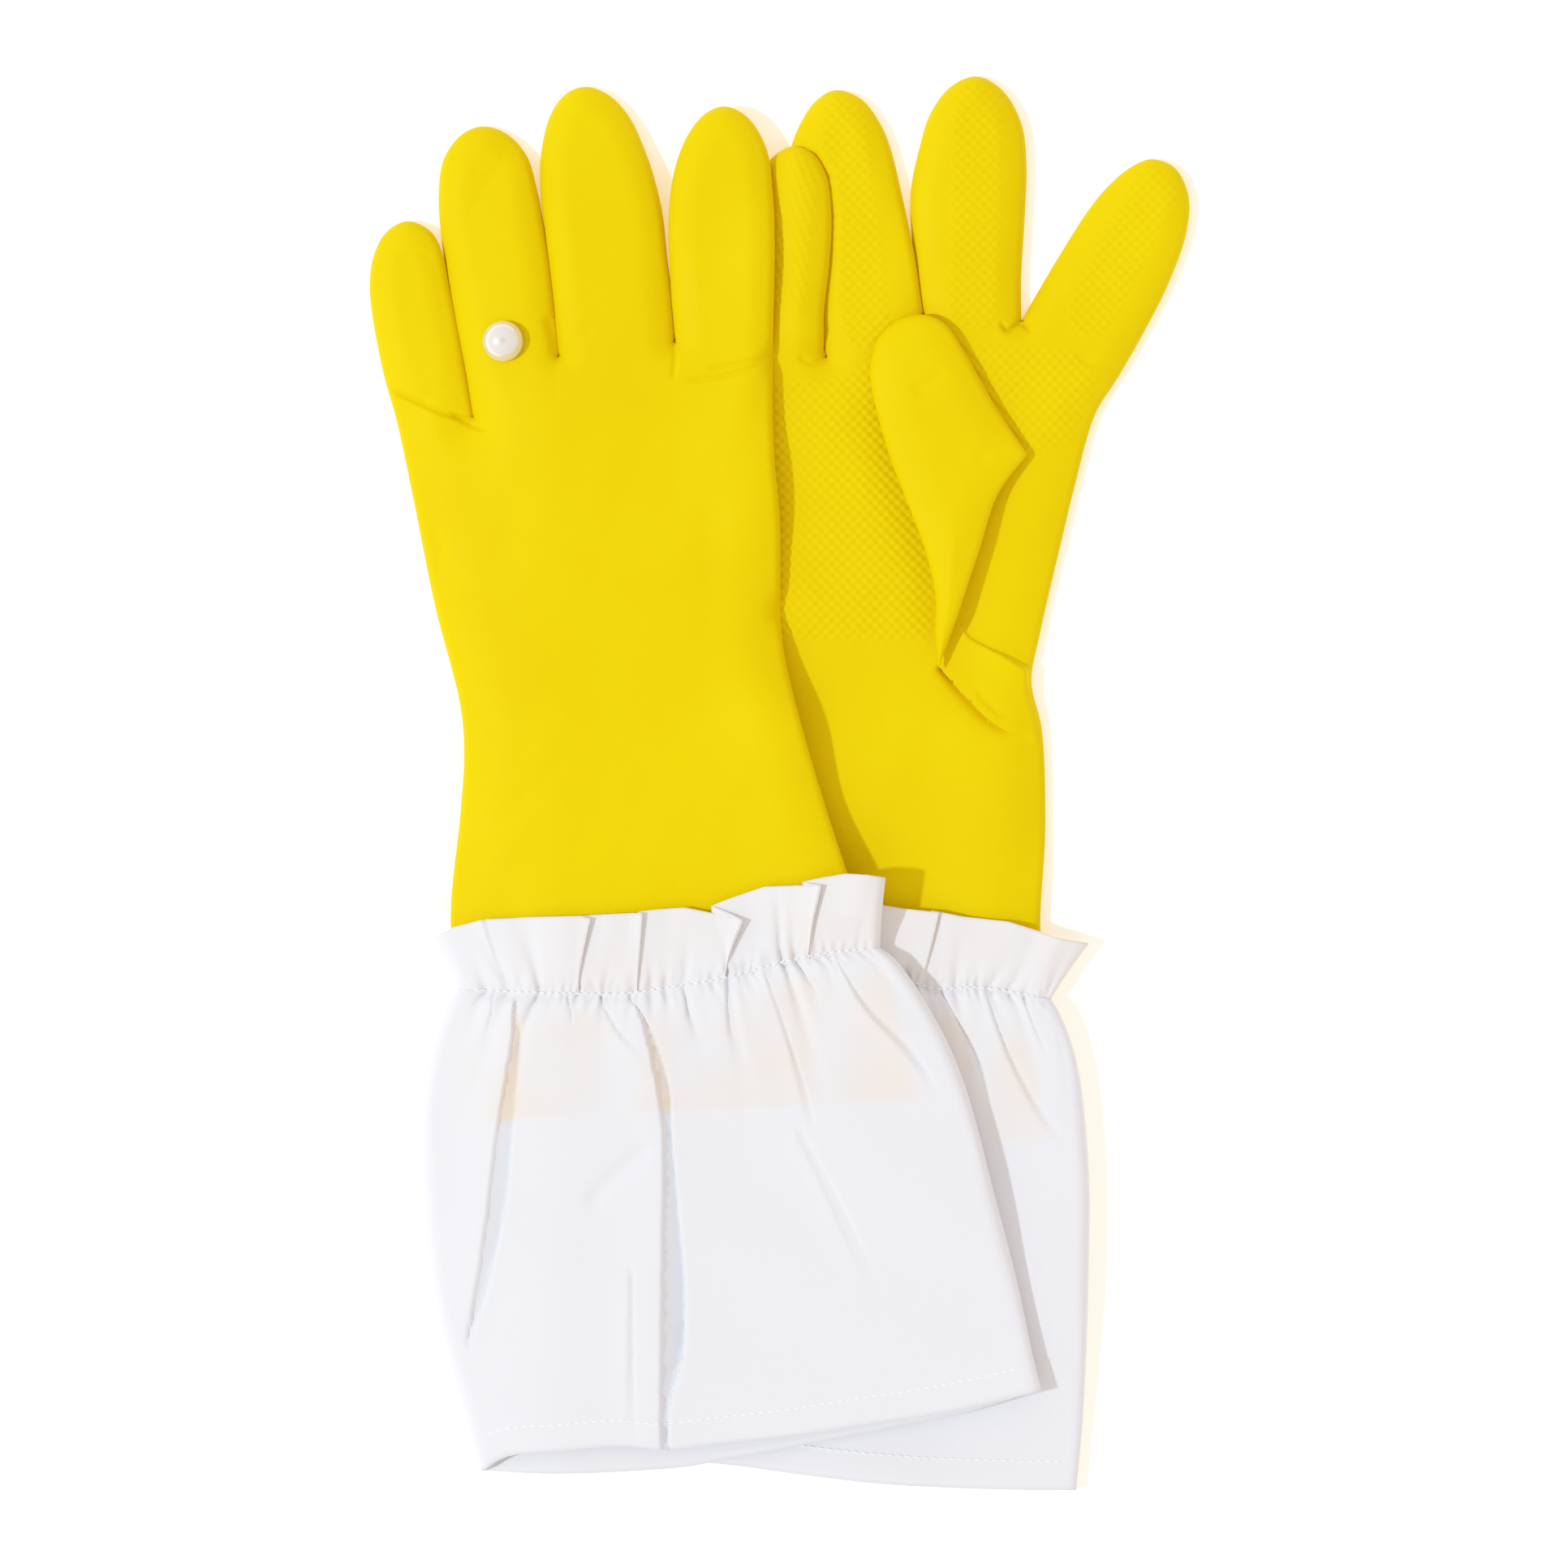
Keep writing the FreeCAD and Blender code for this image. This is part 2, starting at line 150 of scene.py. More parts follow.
def interpolated(places, known, line):
    """Points of a line at places, from its points at the known places."""
    return np.stack([np.interp(places, known, column) for column in line.T], axis=-1)


def unit(vectors):
    """Vectors brought to length 1."""
    return vectors / np.linalg.norm(vectors, axis=1)[:, None]


def fade(share, start, end):
    """A line's strength, which rises over its first share and falls over its last."""
    return smooth(share / start) * smooth((1.0 - share) / end)


def segment_gap(points, a, b):
    """Each point's distance from the straight line between two points."""
    a, b = np.asarray(a, float), np.asarray(b, float)
    run = b - a
    t = np.clip((points - a) @ run / (run @ run), 0.0, 1.0)
    return np.linalg.norm(points - a - t[:, None] * run, axis=1)


def inside(points, polygon):
    """Which points are inside a closed polygon."""
    found = np.zeros(len(points), bool)
    for a, b in zip(polygon, np.roll(polygon, -1, axis=0)):
        if a[1] == b[1]:
            continue
        crosses = (a[1] > points[:, 1]) != (b[1] > points[:, 1])
        x = a[0] + (points[:, 1] - a[1]) * (b[0] - a[0]) / (b[1] - a[1])
        found ^= crosses & (points[:, 0] < x)
    return found


def hex_grid(low, high, spacing):
    """Points of a hexagonal grid that fills a box."""
    rows = np.arange(low[1], high[1], spacing * math.sqrt(0.75))
    columns = np.arange(low[0], high[0], spacing)
    x, y = np.meshgrid(columns, rows)
    x[1::2] += spacing / 2.0
    return np.stack([x.ravel(), y.ravel()], axis=1)


def ripple(points, length, seed):
    """A slow uneven wave between about -1 and 1."""
    random = np.random.default_rng(seed)
    total = np.zeros(len(points))
    for _ in range(6):
        angle, phase = random.uniform(0.0, 2.0 * math.pi, 2)
        scale = length * random.uniform(0.7, 1.6)
        run = points @ np.array([math.cos(angle), math.sin(angle)])
        total += np.sin(2.0 * math.pi * run / scale + phase)
    return total / 3.0


# ---------------------------------------------------------------- meshes

def make_mesh(name, points, faces, normals=None):
    """A smooth mesh piece from points in millimetres."""
    data = bpy.data.meshes.new(name)
    data.from_pydata((np.asarray(points) * MM).tolist(), [], [list(f) for f in faces])
    data.validate()
    data.shade_smooth()
    if normals is not None:
        data.normals_split_custom_set_from_vertices(np.asarray(normals).tolist())
    piece = bpy.data.objects.new(name, data)
    bpy.context.scene.collection.objects.link(piece)
    return piece


def vertex_normals(points, faces):
    """Area-weighted normals of a mesh of triangles."""
    corners = points[faces]
    across = np.cross(corners[:, 1] - corners[:, 0], corners[:, 2] - corners[:, 0])
    normals = np.zeros_like(points)
    for corner in range(3):
        np.add.at(normals, faces[:, corner], across)
    return normals / np.maximum(np.linalg.norm(normals, axis=1), 1e-12)[:, None]


def grid_faces(rows, columns, wrapped=False):
    """Quads of a grid of points that is closed round its columns, and from its last row to its first
    if asked."""
    faces = []
    for row in range(rows if wrapped else rows - 1):
        this, below = row * columns, (row + 1) % rows * columns
        for column in range(columns):
            after = (column + 1) % columns
            faces.append((this + column, this + after, below + after, below + column))
    return faces


def tube(path, radius, sides=8):
    """Points and faces of a closed round tube along a closed path."""
    path = np.asarray(path)
    run = np.roll(path, -1, axis=0) - np.roll(path, 1, axis=0)
    run /= np.linalg.norm(run, axis=1)[:, None]
    reference = np.array([0.0, 1.0, 0.0])
    first = np.cross(run, reference)
    first /= np.maximum(np.linalg.norm(first, axis=1), 1e-9)[:, None]
    second = np.cross(run, first)
    points = []
    for side in range(sides):
        angle = 2.0 * math.pi * side / sides
        points.append(path + radius * (first * math.cos(angle) + second * math.sin(angle)))
    return np.vstack(points), grid_faces(sides, len(path), wrapped=True)


# ---------------------------------------------------------------- outlines of the gloves

# Each glove's edges run from the left end of its cuff round the fingers to the right end, and meet in
# sharp corners between the fingers. A seam is where a folding finger's piece begins: two points on the
# outline. Its bend is how far from the finger's fold line, on each side, the skin would start to bend.
LEFT_EDGES = [
    [(-95.5, -98.5), (-91.4, -60), (-95.3, -42), (-92.5, -8), (-91.5, 8), (-92.5, 22), (-100, 51.5),
     (-106, 81),
     (-111, 104.5), (-115.5, 121), (-119, 144), (-117.5, 154), (-114, 160), (-108, 163),
     (-101.5, 160), (-98.3, 154), (-96.5, 144.5), (-93.8, 131), (-91.4, 118.5), (-89, 106)],
    [(-89, 106), (-91, 118.5), (-93.4, 131), (-96, 144.5), (-98, 156.5), (-99, 170.5), (-97.5, 181),
     (-92.5, 188), (-86.5, 190.5), (-79.5, 188.5), (-73.5, 182), (-70.5, 171.5), (-68.4, 158.5),
     (-66.5, 144.5), (-64, 123.5)],
    [(-64, 123.5), (-66.1, 144.5), (-67.9, 158.5), (-69.3, 170.5), (-69.3, 182), (-66.5, 194), (-62, 200),
     (-56.5, 202), (-49.5, 199.5), (-43.5, 193), (-39.5, 184.5), (-37, 177.5), (-34, 165),
     (-32.6, 149), (-30.5, 127.5)],
    [(-30.5, 127.5), (-31.4, 138.5), (-31.9, 149), (-32.2, 163.5), (-30.5, 177.5), (-26.5, 188),
     (-21.5, 194), (-16, 196), (-9.5, 193), (-4, 184), (-2, 170.5), (-1.5, 156.5), (-2, 123.5),
     (-2, 104.5), (-1.5, 93), (0, 76.5), (0.5, 43.5), (2.5, 31.5), (9, 7), (19.5, -26),
     (24, -38), (26.6, -48), (32, -66), (41, -91.5)],
]
RIGHT_PALM_LEFT = [(-52, -96), (-34.5, -31.5), (-26, -8), (-22.5, 17.5), (-21, 41), (-19.5, 74),
                   (-16.5, 100)]
RIGHT_LITTLE = [(-10, 133), (-9.5, 149), (-8.5, 165.5), (-6, 176), (-1.5, 182), (4, 184.5),
                (9.5, 182.5), (13.5, 176), (15, 164.5), (14.5, 151.5), (12.7, 134)]
RIGHT_REST = [
    [(13.5, 123.5), (10.5, 133), (7, 147), (4, 158.5), (2, 170.5), (3, 183.5), (6, 191.5),
     (10.5, 198), (16, 201), (23.5, 198.5), (29, 191.5), (32, 184.5), (35.2, 170.5),
     (37.2, 156.5), (39, 146), (41.5, 135.5)],
    [(41.5, 135.5), (39.8, 145), (38.2, 158.5), (38, 172.5), (40.5, 184.5), (43.5, 194), (49.5, 202),
     (57, 205), (64.5, 201), (70, 191.5), (71.5, 180), (71, 163.5), (70, 147), (70, 134)],
    [(70, 134), (72.5, 138.5), (81, 153), (90, 167), (96, 174), (101.5, 178.5), (107.5, 181),
     (114.5, 178.5), (118.5, 170.5), (118, 160), (113, 145.5), (106, 131.5), (98, 117.5),
     (91.5, 107), (85.5, 86), (82, 71.5), (75.5, 43.5), (73, 29.5), (76, 15.5), (77, -13),
     (75.5, -41), (76.5, -62.5), (79.5, -105)],
]

# The right little finger crosses over the ring finger, so its skin is laid out turned outwards about
# the corner beside it, and is swung back over the ring finger at the end.
CROSS_CORNER = np.array([13.5, 123.5])
CROSS_ANGLE = math.radians(22.0)
CROSS_RUN = np.array([-0.315, 0.949])     # along the finger as it is laid out
# the gap between it and the ring finger, and the one between the ring and middle fingers: y and x
CROSS_GAP = ((123.5, 133.0, 150.0, 166.0, 200.0), (13.5, 9.7, 5.1, 0.8, -2.0))
RIGHT_GAP = ((135.5, 145, 157, 172, 205), (41.5, 39.5, 37.8, 37.0, 37.0))
CROSS_FROM, CROSS_TO = -6.0, 8.0          # where the swing begins and ends along it
CROSS_REST = (-7.0, 6.0, 3.9)             # across x it climbs from the floor onto the next finger
CROSS_EDGE = ((123.5, 134, 151.5, 164.5, 176, 182.5, 185.0), (13.5, 12.7, 14.5, 15.0, 13.5, 9.5, 2.0))


def swing(points, angle):
    """Points turned about the corner beside the little finger."""
    turn = np.array([[math.cos(angle), -math.sin(angle)], [math.sin(angle), math.cos(angle)]])
    return (np.asarray(points, float) - CROSS_CORNER) @ turn.T + CROSS_CORNER


def crossing(points):
    """How much each point swings with the laid-out little finger, from 0 to 1."""
    offset = points - CROSS_CORNER
    along = offset @ CROSS_RUN
    beside = offset @ np.array([-CROSS_RUN[1], CROSS_RUN[0]])
    on_finger = points[:, 0] < np.interp(points[:, 1], *CROSS_GAP)
    in_palm = smooth(beside / 14.0)
    share = np.where(on_finger | (along < 0.0), in_palm + (1.0 - in_palm) * smooth(along / 4.0), 0.0)
    return ramp(along, CROSS_FROM, CROSS_TO) * share


RIGHT_LITTLE_TURNED = swing(RIGHT_LITTLE, CROSS_ANGLE).tolist()
RIGHT_EDGES = [RIGHT_PALM_LEFT + RIGHT_LITTLE_TURNED + [tuple(CROSS_CORNER)]] + RIGHT_REST


def rise(x):
    """How much of the full lift the left glove has at x."""
    return ramp(x, FLOOR_X, STACK_X)


def level(points, lift_palm, lift_sleeve):
    """The height that a glove's underside rests at, from its gauntlet to its palm."""
    palm = ramp(points[:, 1], CUFF_TOP, PALM_FOOT)
    return (lift_sleeve + SLEEVED_BASE) * (1.0 - palm) + lift_palm * palm


def hump(points, centre, size, lean=0.0):
    """A smooth mound of height 1 about a centre."""
    x, y = (points - np.array(centre)).T
    return np.exp(-((x + lean * y) / size[0]) ** 2 - (y / size[1]) ** 2)


# The lines between neighbouring left fingers: heights y and places x.
LEFT_GAPS = [((106, 118.5, 131, 144.5, 156, 170, 195), (-89, -91.2, -93.6, -96.25, -98.15, -100.4, -104)),
             ((123.5, 144.5, 158.5, 171, 182, 205), (-64, -66.3, -68.15, -69.9, -71.4, -74)),
             ((127.5, 149, 163.5, 177.5, 205), (-30.5, -32.25, -33.1, -33.8, -34))]
# How far the left ring, middle and index fingers droop to the floor, and between which heights.
LEFT_DROOPS = [(6.0, 128.0, 192.0), (7.8, 130.0, 203.0), (3.8, 160.0, 197.0)]
# Where the left glove's right edge stands up or dips: centre, size, lean and height.
LEFT_EDGE_WAVES = [((24.0, -28.0), (24.0, 24.0), 0.36, 4.2), ((6.0, 18.0), (20.0, 17.0), 0.2, 4.6),
                   ((1.0, 50.0), (3.5, 4.5), 0.0, -2.6), ((0.0, 88.0), (16.0, 19.0), 0.0, 3.0),
                   ((-1.5, 122.5), (3.0, 4.0), 0.0, -2.2), ((-1.5, 152.0), (12.0, 18.0), 0.0, 2.4)]
# Where a left finger, from the little one on, lies against the next: centre, size, and the shifts
# across and up.
LEFT_OVERLAPS = [((-95.3, 132.0), (7.0, 23.0), 1.0, -0.7), ((-66.8, 146.0), (7.0, 23.0), 0.8, -0.8),
                 ((-32.5, 141.0), (7.0, 13.0), 0.6, -0.5)]


def finger_number(points, gaps):
    """Which finger each point is on or below, counted from the left."""
    return sum((points[:, 0] >= np.interp(points[:, 1], *gap)).astype(int) for gap in gaps)


def edge_waves(points):
    """How far the left glove's right edge stands up, below its sleeve's gather not at all."""
    unsleeved = smooth((points[:, 1] + 46.0) / 9.0)
    return unsleeved * sum(height * hump(points, centre, size, lean)
                           for centre, size, lean, height in LEFT_EDGE_WAVES)


def settle_left(points):
    """The left glove's underside in space."""
    up = rise(points[:, 0])
    z = level(points, STACK_PALM * up, STACK_SLEEVE * up)
    finger = finger_number(points, LEFT_GAPS)
    for number, (droop, begin, end) in enumerate(LEFT_DROOPS, 1):
        z = z - np.where(finger == number, droop * ramp(points[:, 1], begin, end), 0.0)
    z += edge_waves(points)
    x = points[:, 0].copy()
    for number, (centre, size, across, lift) in enumerate(LEFT_OVERLAPS):
        share = hump(points, centre, size, 0.19) * (finger == number)
        x += across * share
        z += lift * share
    return np.column_stack([x, points[:, 1], np.maximum(z, 0.0)])


def settle_right(points):
    """The right glove's underside in space, with its little finger swung over."""
    z = level(points, np.zeros(len(points)), np.zeros(len(points)))
    share = crossing(points)
    angle = -CROSS_ANGLE * share
    offset = points - CROSS_CORNER
    x = CROSS_CORNER[0] + offset[:, 0] * np.cos(angle) - offset[:, 1] * np.sin(angle)
    y = CROSS_CORNER[1] + offset[:, 0] * np.sin(angle) + offset[:, 1] * np.cos(angle)
    begin, end, height = CROSS_REST
    z += share * height * ramp(x, begin, end) * smooth((y - 118.0) / 14.0)
    ring_side = (finger_number(points, [CROSS_GAP, RIGHT_GAP]) == 1) & (points[:, 1] > 125)
    over = hump(points, (38.0, 152.0), (4.5, 14.0), 0.2) * ring_side
    return np.column_stack([x + 1.3 * over, y, z + 2.2 * over])


def pressed_right(points):
    """How much the right ring finger is flattened under the little finger that lies on it."""
    ring = ~(points[:, 0] < np.interp(points[:, 1], *CROSS_GAP)) & (points[:, 1] > 123.5)
    edge = np.interp(points[:, 1], *CROSS_EDGE)
    return np.where(ring, smooth((edge + 3.0 - points[:, 0]) / 5.0) * smooth((187.0 - points[:, 1]) / 4.0)
                    * smooth((points[:, 1] - 124.0) / 8.0), 0.0)


# ---------------------------------------------------------------- relief on the skin

def groove(points, line, depth, width, soft_ends=0.2):
    """A crease along a line."""
    gap, _, share = Path(line).near(points)
    return -depth * fade(share, soft_ends, soft_ends) * np.exp(-(gap / width) ** 2)


LEFT_PALM_ZONE = [(-104, 45), (-30, 45), (-20, 100), (-4, 116), (-8, 124), (-60, 121), (-88, 103),
                  (-108, 101)]
RIGHT_PALM_ZONE = [(-22, 39), (44, 39), (50, 58), (58, 78), (70, 90), (86, 98), (95, 116), (86, 128),
                   (70, 129), (41, 131), (14, 119), (-16, 117)]
LEFT_PADS = [((-104, 122), (-108, 155), 6.5), ((-81, 130), (-86, 182), 8.0), ((-52, 134), (-56, 194), 8.5),
             ((-16.3, 132), (-16.4, 188), 8.5)]
RIGHT_PADS = [(tuple(swing([(1.8, 140)], CROSS_ANGLE)[0]), tuple(swing([(5, 177)], CROSS_ANGLE)[0]), 7.0),
              ((25, 132), (18, 192), 8.5), ((56, 138), (57, 196), 8.5), ((90, 136), (108, 172), 8.5)]


def grip_share(points, zone, pads):
    """How strongly the grip pattern shows, from 0 to 1."""
    closed = np.array(list(zone) + [zone[0]], float)
    gap = np.full(len(points), np.inf)
    for a, b in zip(closed, closed[1:]):
        gap = np.minimum(gap, segment_gap(points, a, b))
    share = np.where(inside(points, closed[:-1]), smooth(gap / 5.0), 0.0)
    for a, b, reach in pads:
        share = np.maximum(share, 0.75 * smooth((reach - segment_gap(points, a, b)) / 3.0))
    return share


def grip(points):
    """The staggered diamonds of the grip pattern, from 0 to 1."""
    across = np.cos(2.0 * math.pi * points[:, 0] / GRIP_ACROSS)
    along = np.cos(2.0 * math.pi * points[:, 1] / GRIP_ALONG)
    return 0.5 + 0.5 * across * along


# The fold of skin that carries the palm into the thumb: its lower edge and its upper edge.
HOOD_FOOT = [(45.5, 34.5), (53.5, 25.5), (60.5, 18.5), (66, 14.5), (71, 12.5)]
HOOD_HEAD = [(52.5, 45.5), (54.5, 42.5), (58.5, 40), (64.5, 37), (71, 33.2), (76, 30.5)]
HOOD_SECOND = [(57, 27), (62, 21.5), (66.5, 19)]
HOOD_ACROSS = np.array([0.653, 0.757])      # from the foot's line towards the band


def hood_relief(points):
    """The hood's raised band, with a deep crease below it and a step above it."""
    foot_gap, foot_side, foot_share = Path(HOOD_FOOT).near(points)
    head_gap, head_side, _ = Path(HOOD_HEAD).near(points)
    below_head = -head_gap * head_side
    above_foot = foot_gap * foot_side
    ends = smooth(foot_share / 0.06) * smooth((0.99 - foot_share) / 0.4)
    step = (1.1 + 1.7 * smooth((points[:, 0] - 54.0) / 15.0)) * smooth((points[:, 0] - 45.0) / 5.0)
    band = smooth(below_head / 0.7 + 0.5) * np.exp(-np.maximum(below_head, 0.0) / 10.0)
    band *= smooth(above_foot / 3.0)
    lip = 0.9 * ends * np.exp(-(above_foot / 3.0) ** 2) * (foot_side > 0)
    valley = -3.0 * ends * np.exp(-foot_gap / (0.9 + 1.6 * smooth(foot_share / 0.45))) * (foot_side <= 0)
    second = groove(points, HOOD_SECOND, 0.7, 0.9)
    return step * band + lip + valley + second


def hood_shift(points):
    """How far the band's lower edge leans out over the crease."""
    gap, side, share = Path(HOOD_FOOT).near(points)
    ends = smooth(share / 0.06) * smooth((0.99 - share) / 0.4)
    reach = 0.45 * ends * smooth(1.0 - gap / 3.4) * (side > 0)
    return -reach[:, None] * HOOD_ACROSS


def mirror_thumb(points):
    """The right thumb's place on the left glove, or back."""
    moved = np.array(points, float)
    moved[..., 0] = THUMB_MIRROR - moved[..., 0]
    return moved


THUMB_MIRROR = 9.0

LEFT_CREASES = [
    ([(-116, 115.5), (-107, 111.5), (-97, 107), (-88.5, 105.6), (-85, 107)], 1.3, 0.75),
    ([(-96, 107), (-90, 104), (-84, 102)], 0.9, 0.8),
    ([(-112, 104), (-104, 109), (-98, 116)], 0.3, 3.0),
    ([(-112, 150), (-106, 153.5), (-100, 152)], 0.35, 1.2),
    ([(-90, 178), (-84.5, 176), (-78, 178.5)], 0.22, 1.4),
    ([(-67.6, 136), (-65.8, 129), (-64.5, 122)], 1.2, 1.8),
    ([(-64, 124), (-60, 127), (-54, 132)], 0.35, 1.8),
    ([(-30.6, 129), (-30.2, 122), (-31, 116)], 0.7, 0.8),
    ([(-22, 119.2), (-12, 121), (-1.5, 123.4)], 0.8, 0.7),
    ([(-28, 115.8), (-14, 118), (-1.5, 122.4)], 0.9, 0.8),
    ([(-86, 107), (-72, 109), (-60, 114)], 0.25, 2.0),
    ([(-92, -22), (-74, -5), (-57, 12)], 0.35, 3.5),
    ([(-101, 74), (-98.5, 68), (-99, 60)], 0.5, 2.2),
    ([(-21, 84), (-20.5, 60), (-22, 38)], 0.4, 4.0),
]
RIGHT_CREASES = [
    ([(46.5, 36), (46, 53), (43.5, 67), (33, 95), (29, 110), (27.5, 120)], 2.0, 8.0),
    ([(63.5, 134), (66, 131), (70, 133.2), (73, 130)], 1.5, 0.7),
    ([(13.5, 123.5), (10, 121.5), (5, 122.5)], 0.7, 0.8),
    ([(85, 123.5), (92, 121), (99, 120)], 0.35, 1.0),
    ([(-22, 43), (-14, 37), (-6, 26)], 0.5, 2.0),
    ([(40, 136), (42, 131), (47, 128)], 0.5, 1.0),
]


def crease_relief(points, creases):
    """All of a glove's creases."""
    return sum(groove(points, line, depth, width) for line, depth, width in creases)


# ---------------------------------------------------------------- the rubber skin

GLOVES = {
    "left": {"edges": LEFT_EDGES, "settle": settle_left, "palm_side": -1, "creases": LEFT_CREASES,
             "zone": LEFT_PALM_ZONE, "pads": LEFT_PADS, "hood_mirror": True,
             "seams": {"little": ((-110.8, 103.5), (-89, 106)), "ring": ((-89, 106), (-64, 123.5)),
                       "middle": ((-64, 123.5), (-30.5, 127.5)), "index": ((-30.5, 127.5), (-2, 124))}},
    "right": {"edges": RIGHT_EDGES, "settle": settle_right, "palm_side": 1, "creases": RIGHT_CREASES,
              "zone": RIGHT_PALM_ZONE, "pads": RIGHT_PADS, "hood_mirror": False,
              "seams": {"middle": ((41.5, 135.5), (70, 134)), "index": ((70, 134), (96.5, 115))}},
}
FOLD_BENDS = {"left_little": 5.0, "left_ring": 3.6, "left_middle": 6.0, "left_index": 5.0,
              "right_middle": 5.0, "right_index": 5.0}


def rim(gap, radius):
    """The rounded edge of a flattened tube, from 0 at its outline to 1."""
    t = np.clip(gap / radius, 0.0, 1.0)
    return np.sqrt(1.0 - (1.0 - t) ** 2)


def line_rows(lines, offsets, spacing):
    """Rows of points beside the lines, so that a crease's edges run along the mesh."""
    rows = []
    for line in lines:
        path = Path(line, spacing)
        run = unit(np.gradient(path.line, axis=0))
        across = np.column_stack([-run[:, 1], run[:, 0]])
        rows += [path.line + across * offset for offset in offsets]
    return np.vstack(rows)


def edge_rings(edge, run, outline, border, radius):
    """Rings of points that follow an outline's rounded edge inwards."""
    run = unit(run)
    inward = np.column_stack([run[:, 1], -run[:, 0]])
    rings = []
    for angle in RING_ANGLES:
        depth = radius * (1.0 - math.cos(math.radians(angle)))
        ring = edge + inward * depth
        ring = ring[inside(ring, outline)]
        rings.append(ring[border.near(ring)[0] > 0.9 * depth])
    return rings


def two_layers(upper, lower, faces, shared):
    """Points and faces of an upper and a lower skin that meet at the shared points."""
    low_ids = np.arange(len(upper))
    low_ids[~shared] = len(upper) + np.arange((~shared).sum())
    return np.vstack([upper, lower[~shared]]), np.vstack([faces, low_ids[faces][:, ::-1]])


def lay_points(outline, count, fine_share, rows):
    """Mesh points inside an outline: rings round its edge, a coarse grid, and a fine one where asked.
    The outline's first count points are its rounded edge."""
    edge = outline[:count]
    low, high = outline.min(0), outline.max(0)
    border = Path(edge, OUTLINE_STEP)
    rings = edge_rings(edge, np.gradient(edge, axis=0), outline, border, EDGE_RADIUS)
    coarse = hex_grid(low, high, COARSE)
    coarse = coarse[inside(coarse, outline)]
    coarse = coarse[(border.near(coarse)[0] > EDGE_RADIUS + 0.5) & ~(fine_share(coarse) > 0.02)]
    fine = hex_grid(low, high, FINE)
    fine = fine[fine_share(fine) > 0.02]
    fine = fine[inside(fine, outline)]
    fine = fine[border.near(fine)[0] > EDGE_RADIUS + 0.3]
    rows = rows[inside(rows, outline)]
    rows = rows[border.near(rows)[0] > 0.5]
    taken = KDTree(len(rows))
    for i, point in enumerate(rows):
        taken.insert((*point, 0.0), i)
    taken.balance()
    clear = [[p for p in group if taken.find((*p, 0.0))[2] > 0.3] for group in rings + [coarse, fine]]
    return np.vstack([rows] + [group for group in clear if group])


def triangulate(outline, extra, seams):
    """A mesh of triangles inside the outline that has the seams among its edges."""
    points = [Vector(p) for p in np.vstack([outline, extra])]
    count = len(outline)
    edges = []
    for a, b in seams:
        length = np.linalg.norm(outline[b] - outline[a])
        steps = max(2, round(length / OUTLINE_STEP))
        ids = [a]
        for step in range(1, steps):
            points.append(Vector(outline[a] + (outline[b] - outline[a]) * step / steps))
            ids.append(len(points) - 1)
        ids.append(b)
        edges += list(zip(ids, ids[1:]))
    made = delaunay_2d_cdt(points, edges, [list(range(count))], 1, 1e-5, True)
    where = np.array([tuple(p) for p in made[0]])
    faces = np.array([f for f in made[2] if len(f) == 3])
    faces = faces[inside(where[faces].mean(1), outline)]
    on_outline = np.full(len(where), -1)
    for i, originals in enumerate(made[3]):
        if len(originals) and min(originals) < count:
            on_outline[i] = min(originals)
    corners = where[faces]
    first, second = corners[:, 1] - corners[:, 0], corners[:, 2] - corners[:, 0]
    turned = first[:, 0] * second[:, 1] - first[:, 1] * second[:, 0] < 0
    faces[turned] = faces[turned][:, ::-1]
    return where, faces, on_outline


def near_lines(points, lines, reach):
    """Which points are within reach of any of the lines."""
    near = np.zeros(len(points), bool)
    for line in lines:
        line = np.array(line, float)
        low, high = line.min(0) - reach, line.max(0) + reach
        close = np.all((points > low) & (points < high), axis=1)
        near[np.flatnonzero(close)] |= Path(line).near(points[close])[0] < reach
    return near


def skin_half(name, where):
    """Half of a glove's thickness at points of its skin, where it is full."""
    to_palm = ramp(where[:, 1], CUFF_TOP, PALM_FOOT)
    half = (CUFF_THICK + (PALM_THICK - 0.2 - CUFF_THICK) * to_palm) / 2.0
    if name == "right":
        beside = [smooth((end - place) / (end - begin))
                  for place, (begin, end) in zip(where.T, (PRESSED_X, PRESSED_Y))]
        half -= PRESSED_CUFF * beside[0] * beside[1]
    gather = np.array(SLEEVES[name]["gather"], float)
    above = where[:, 1] - np.interp(where[:, 0], gather[:, 0], gather[:, 1])
    sleeved = smooth((SLEEVED_REACH - above) / (SLEEVED_REACH - 1.0))
    half -= (CUFF_THICK - SLEEVED_THICK) / 2.0 * sleeved
    return half


def skin_relief(glove, where, gap):
    """Relief of a glove's top and underside, outwards from each."""
    calm = smooth(gap / EDGE_RADIUS)
    swell = calm * (0.16 * ripple(where, 55.0, 4) + 0.07 * ripple(where, 17.0, 8))
    mirrored = mirror_thumb(where) if glove["hood_mirror"] else where
    palm = GRIP_HEIGHT * grip(where) * grip_share(where, glove["zone"], glove["pads"])
    palm += hood_relief(mirrored) * calm
    creases = crease_relief(where, glove["creases"]) * smooth((gap + 0.6) / 2.0)
    if glove["palm_side"] > 0:
        return palm * calm + creases + swell, np.minimum(swell, 0.0)
    return swell + creases, palm * calm


def split_skin(points, faces, normals, owner, parts):
    """Each part's points, faces and normals, by which part owns each face."""
    pieces = {}
    for number, part in enumerate(parts):
        used, local = np.unique(faces[owner == number], return_inverse=True)
        pieces[part] = (points[used], local.reshape(-1, 3), normals[used])
    return pieces


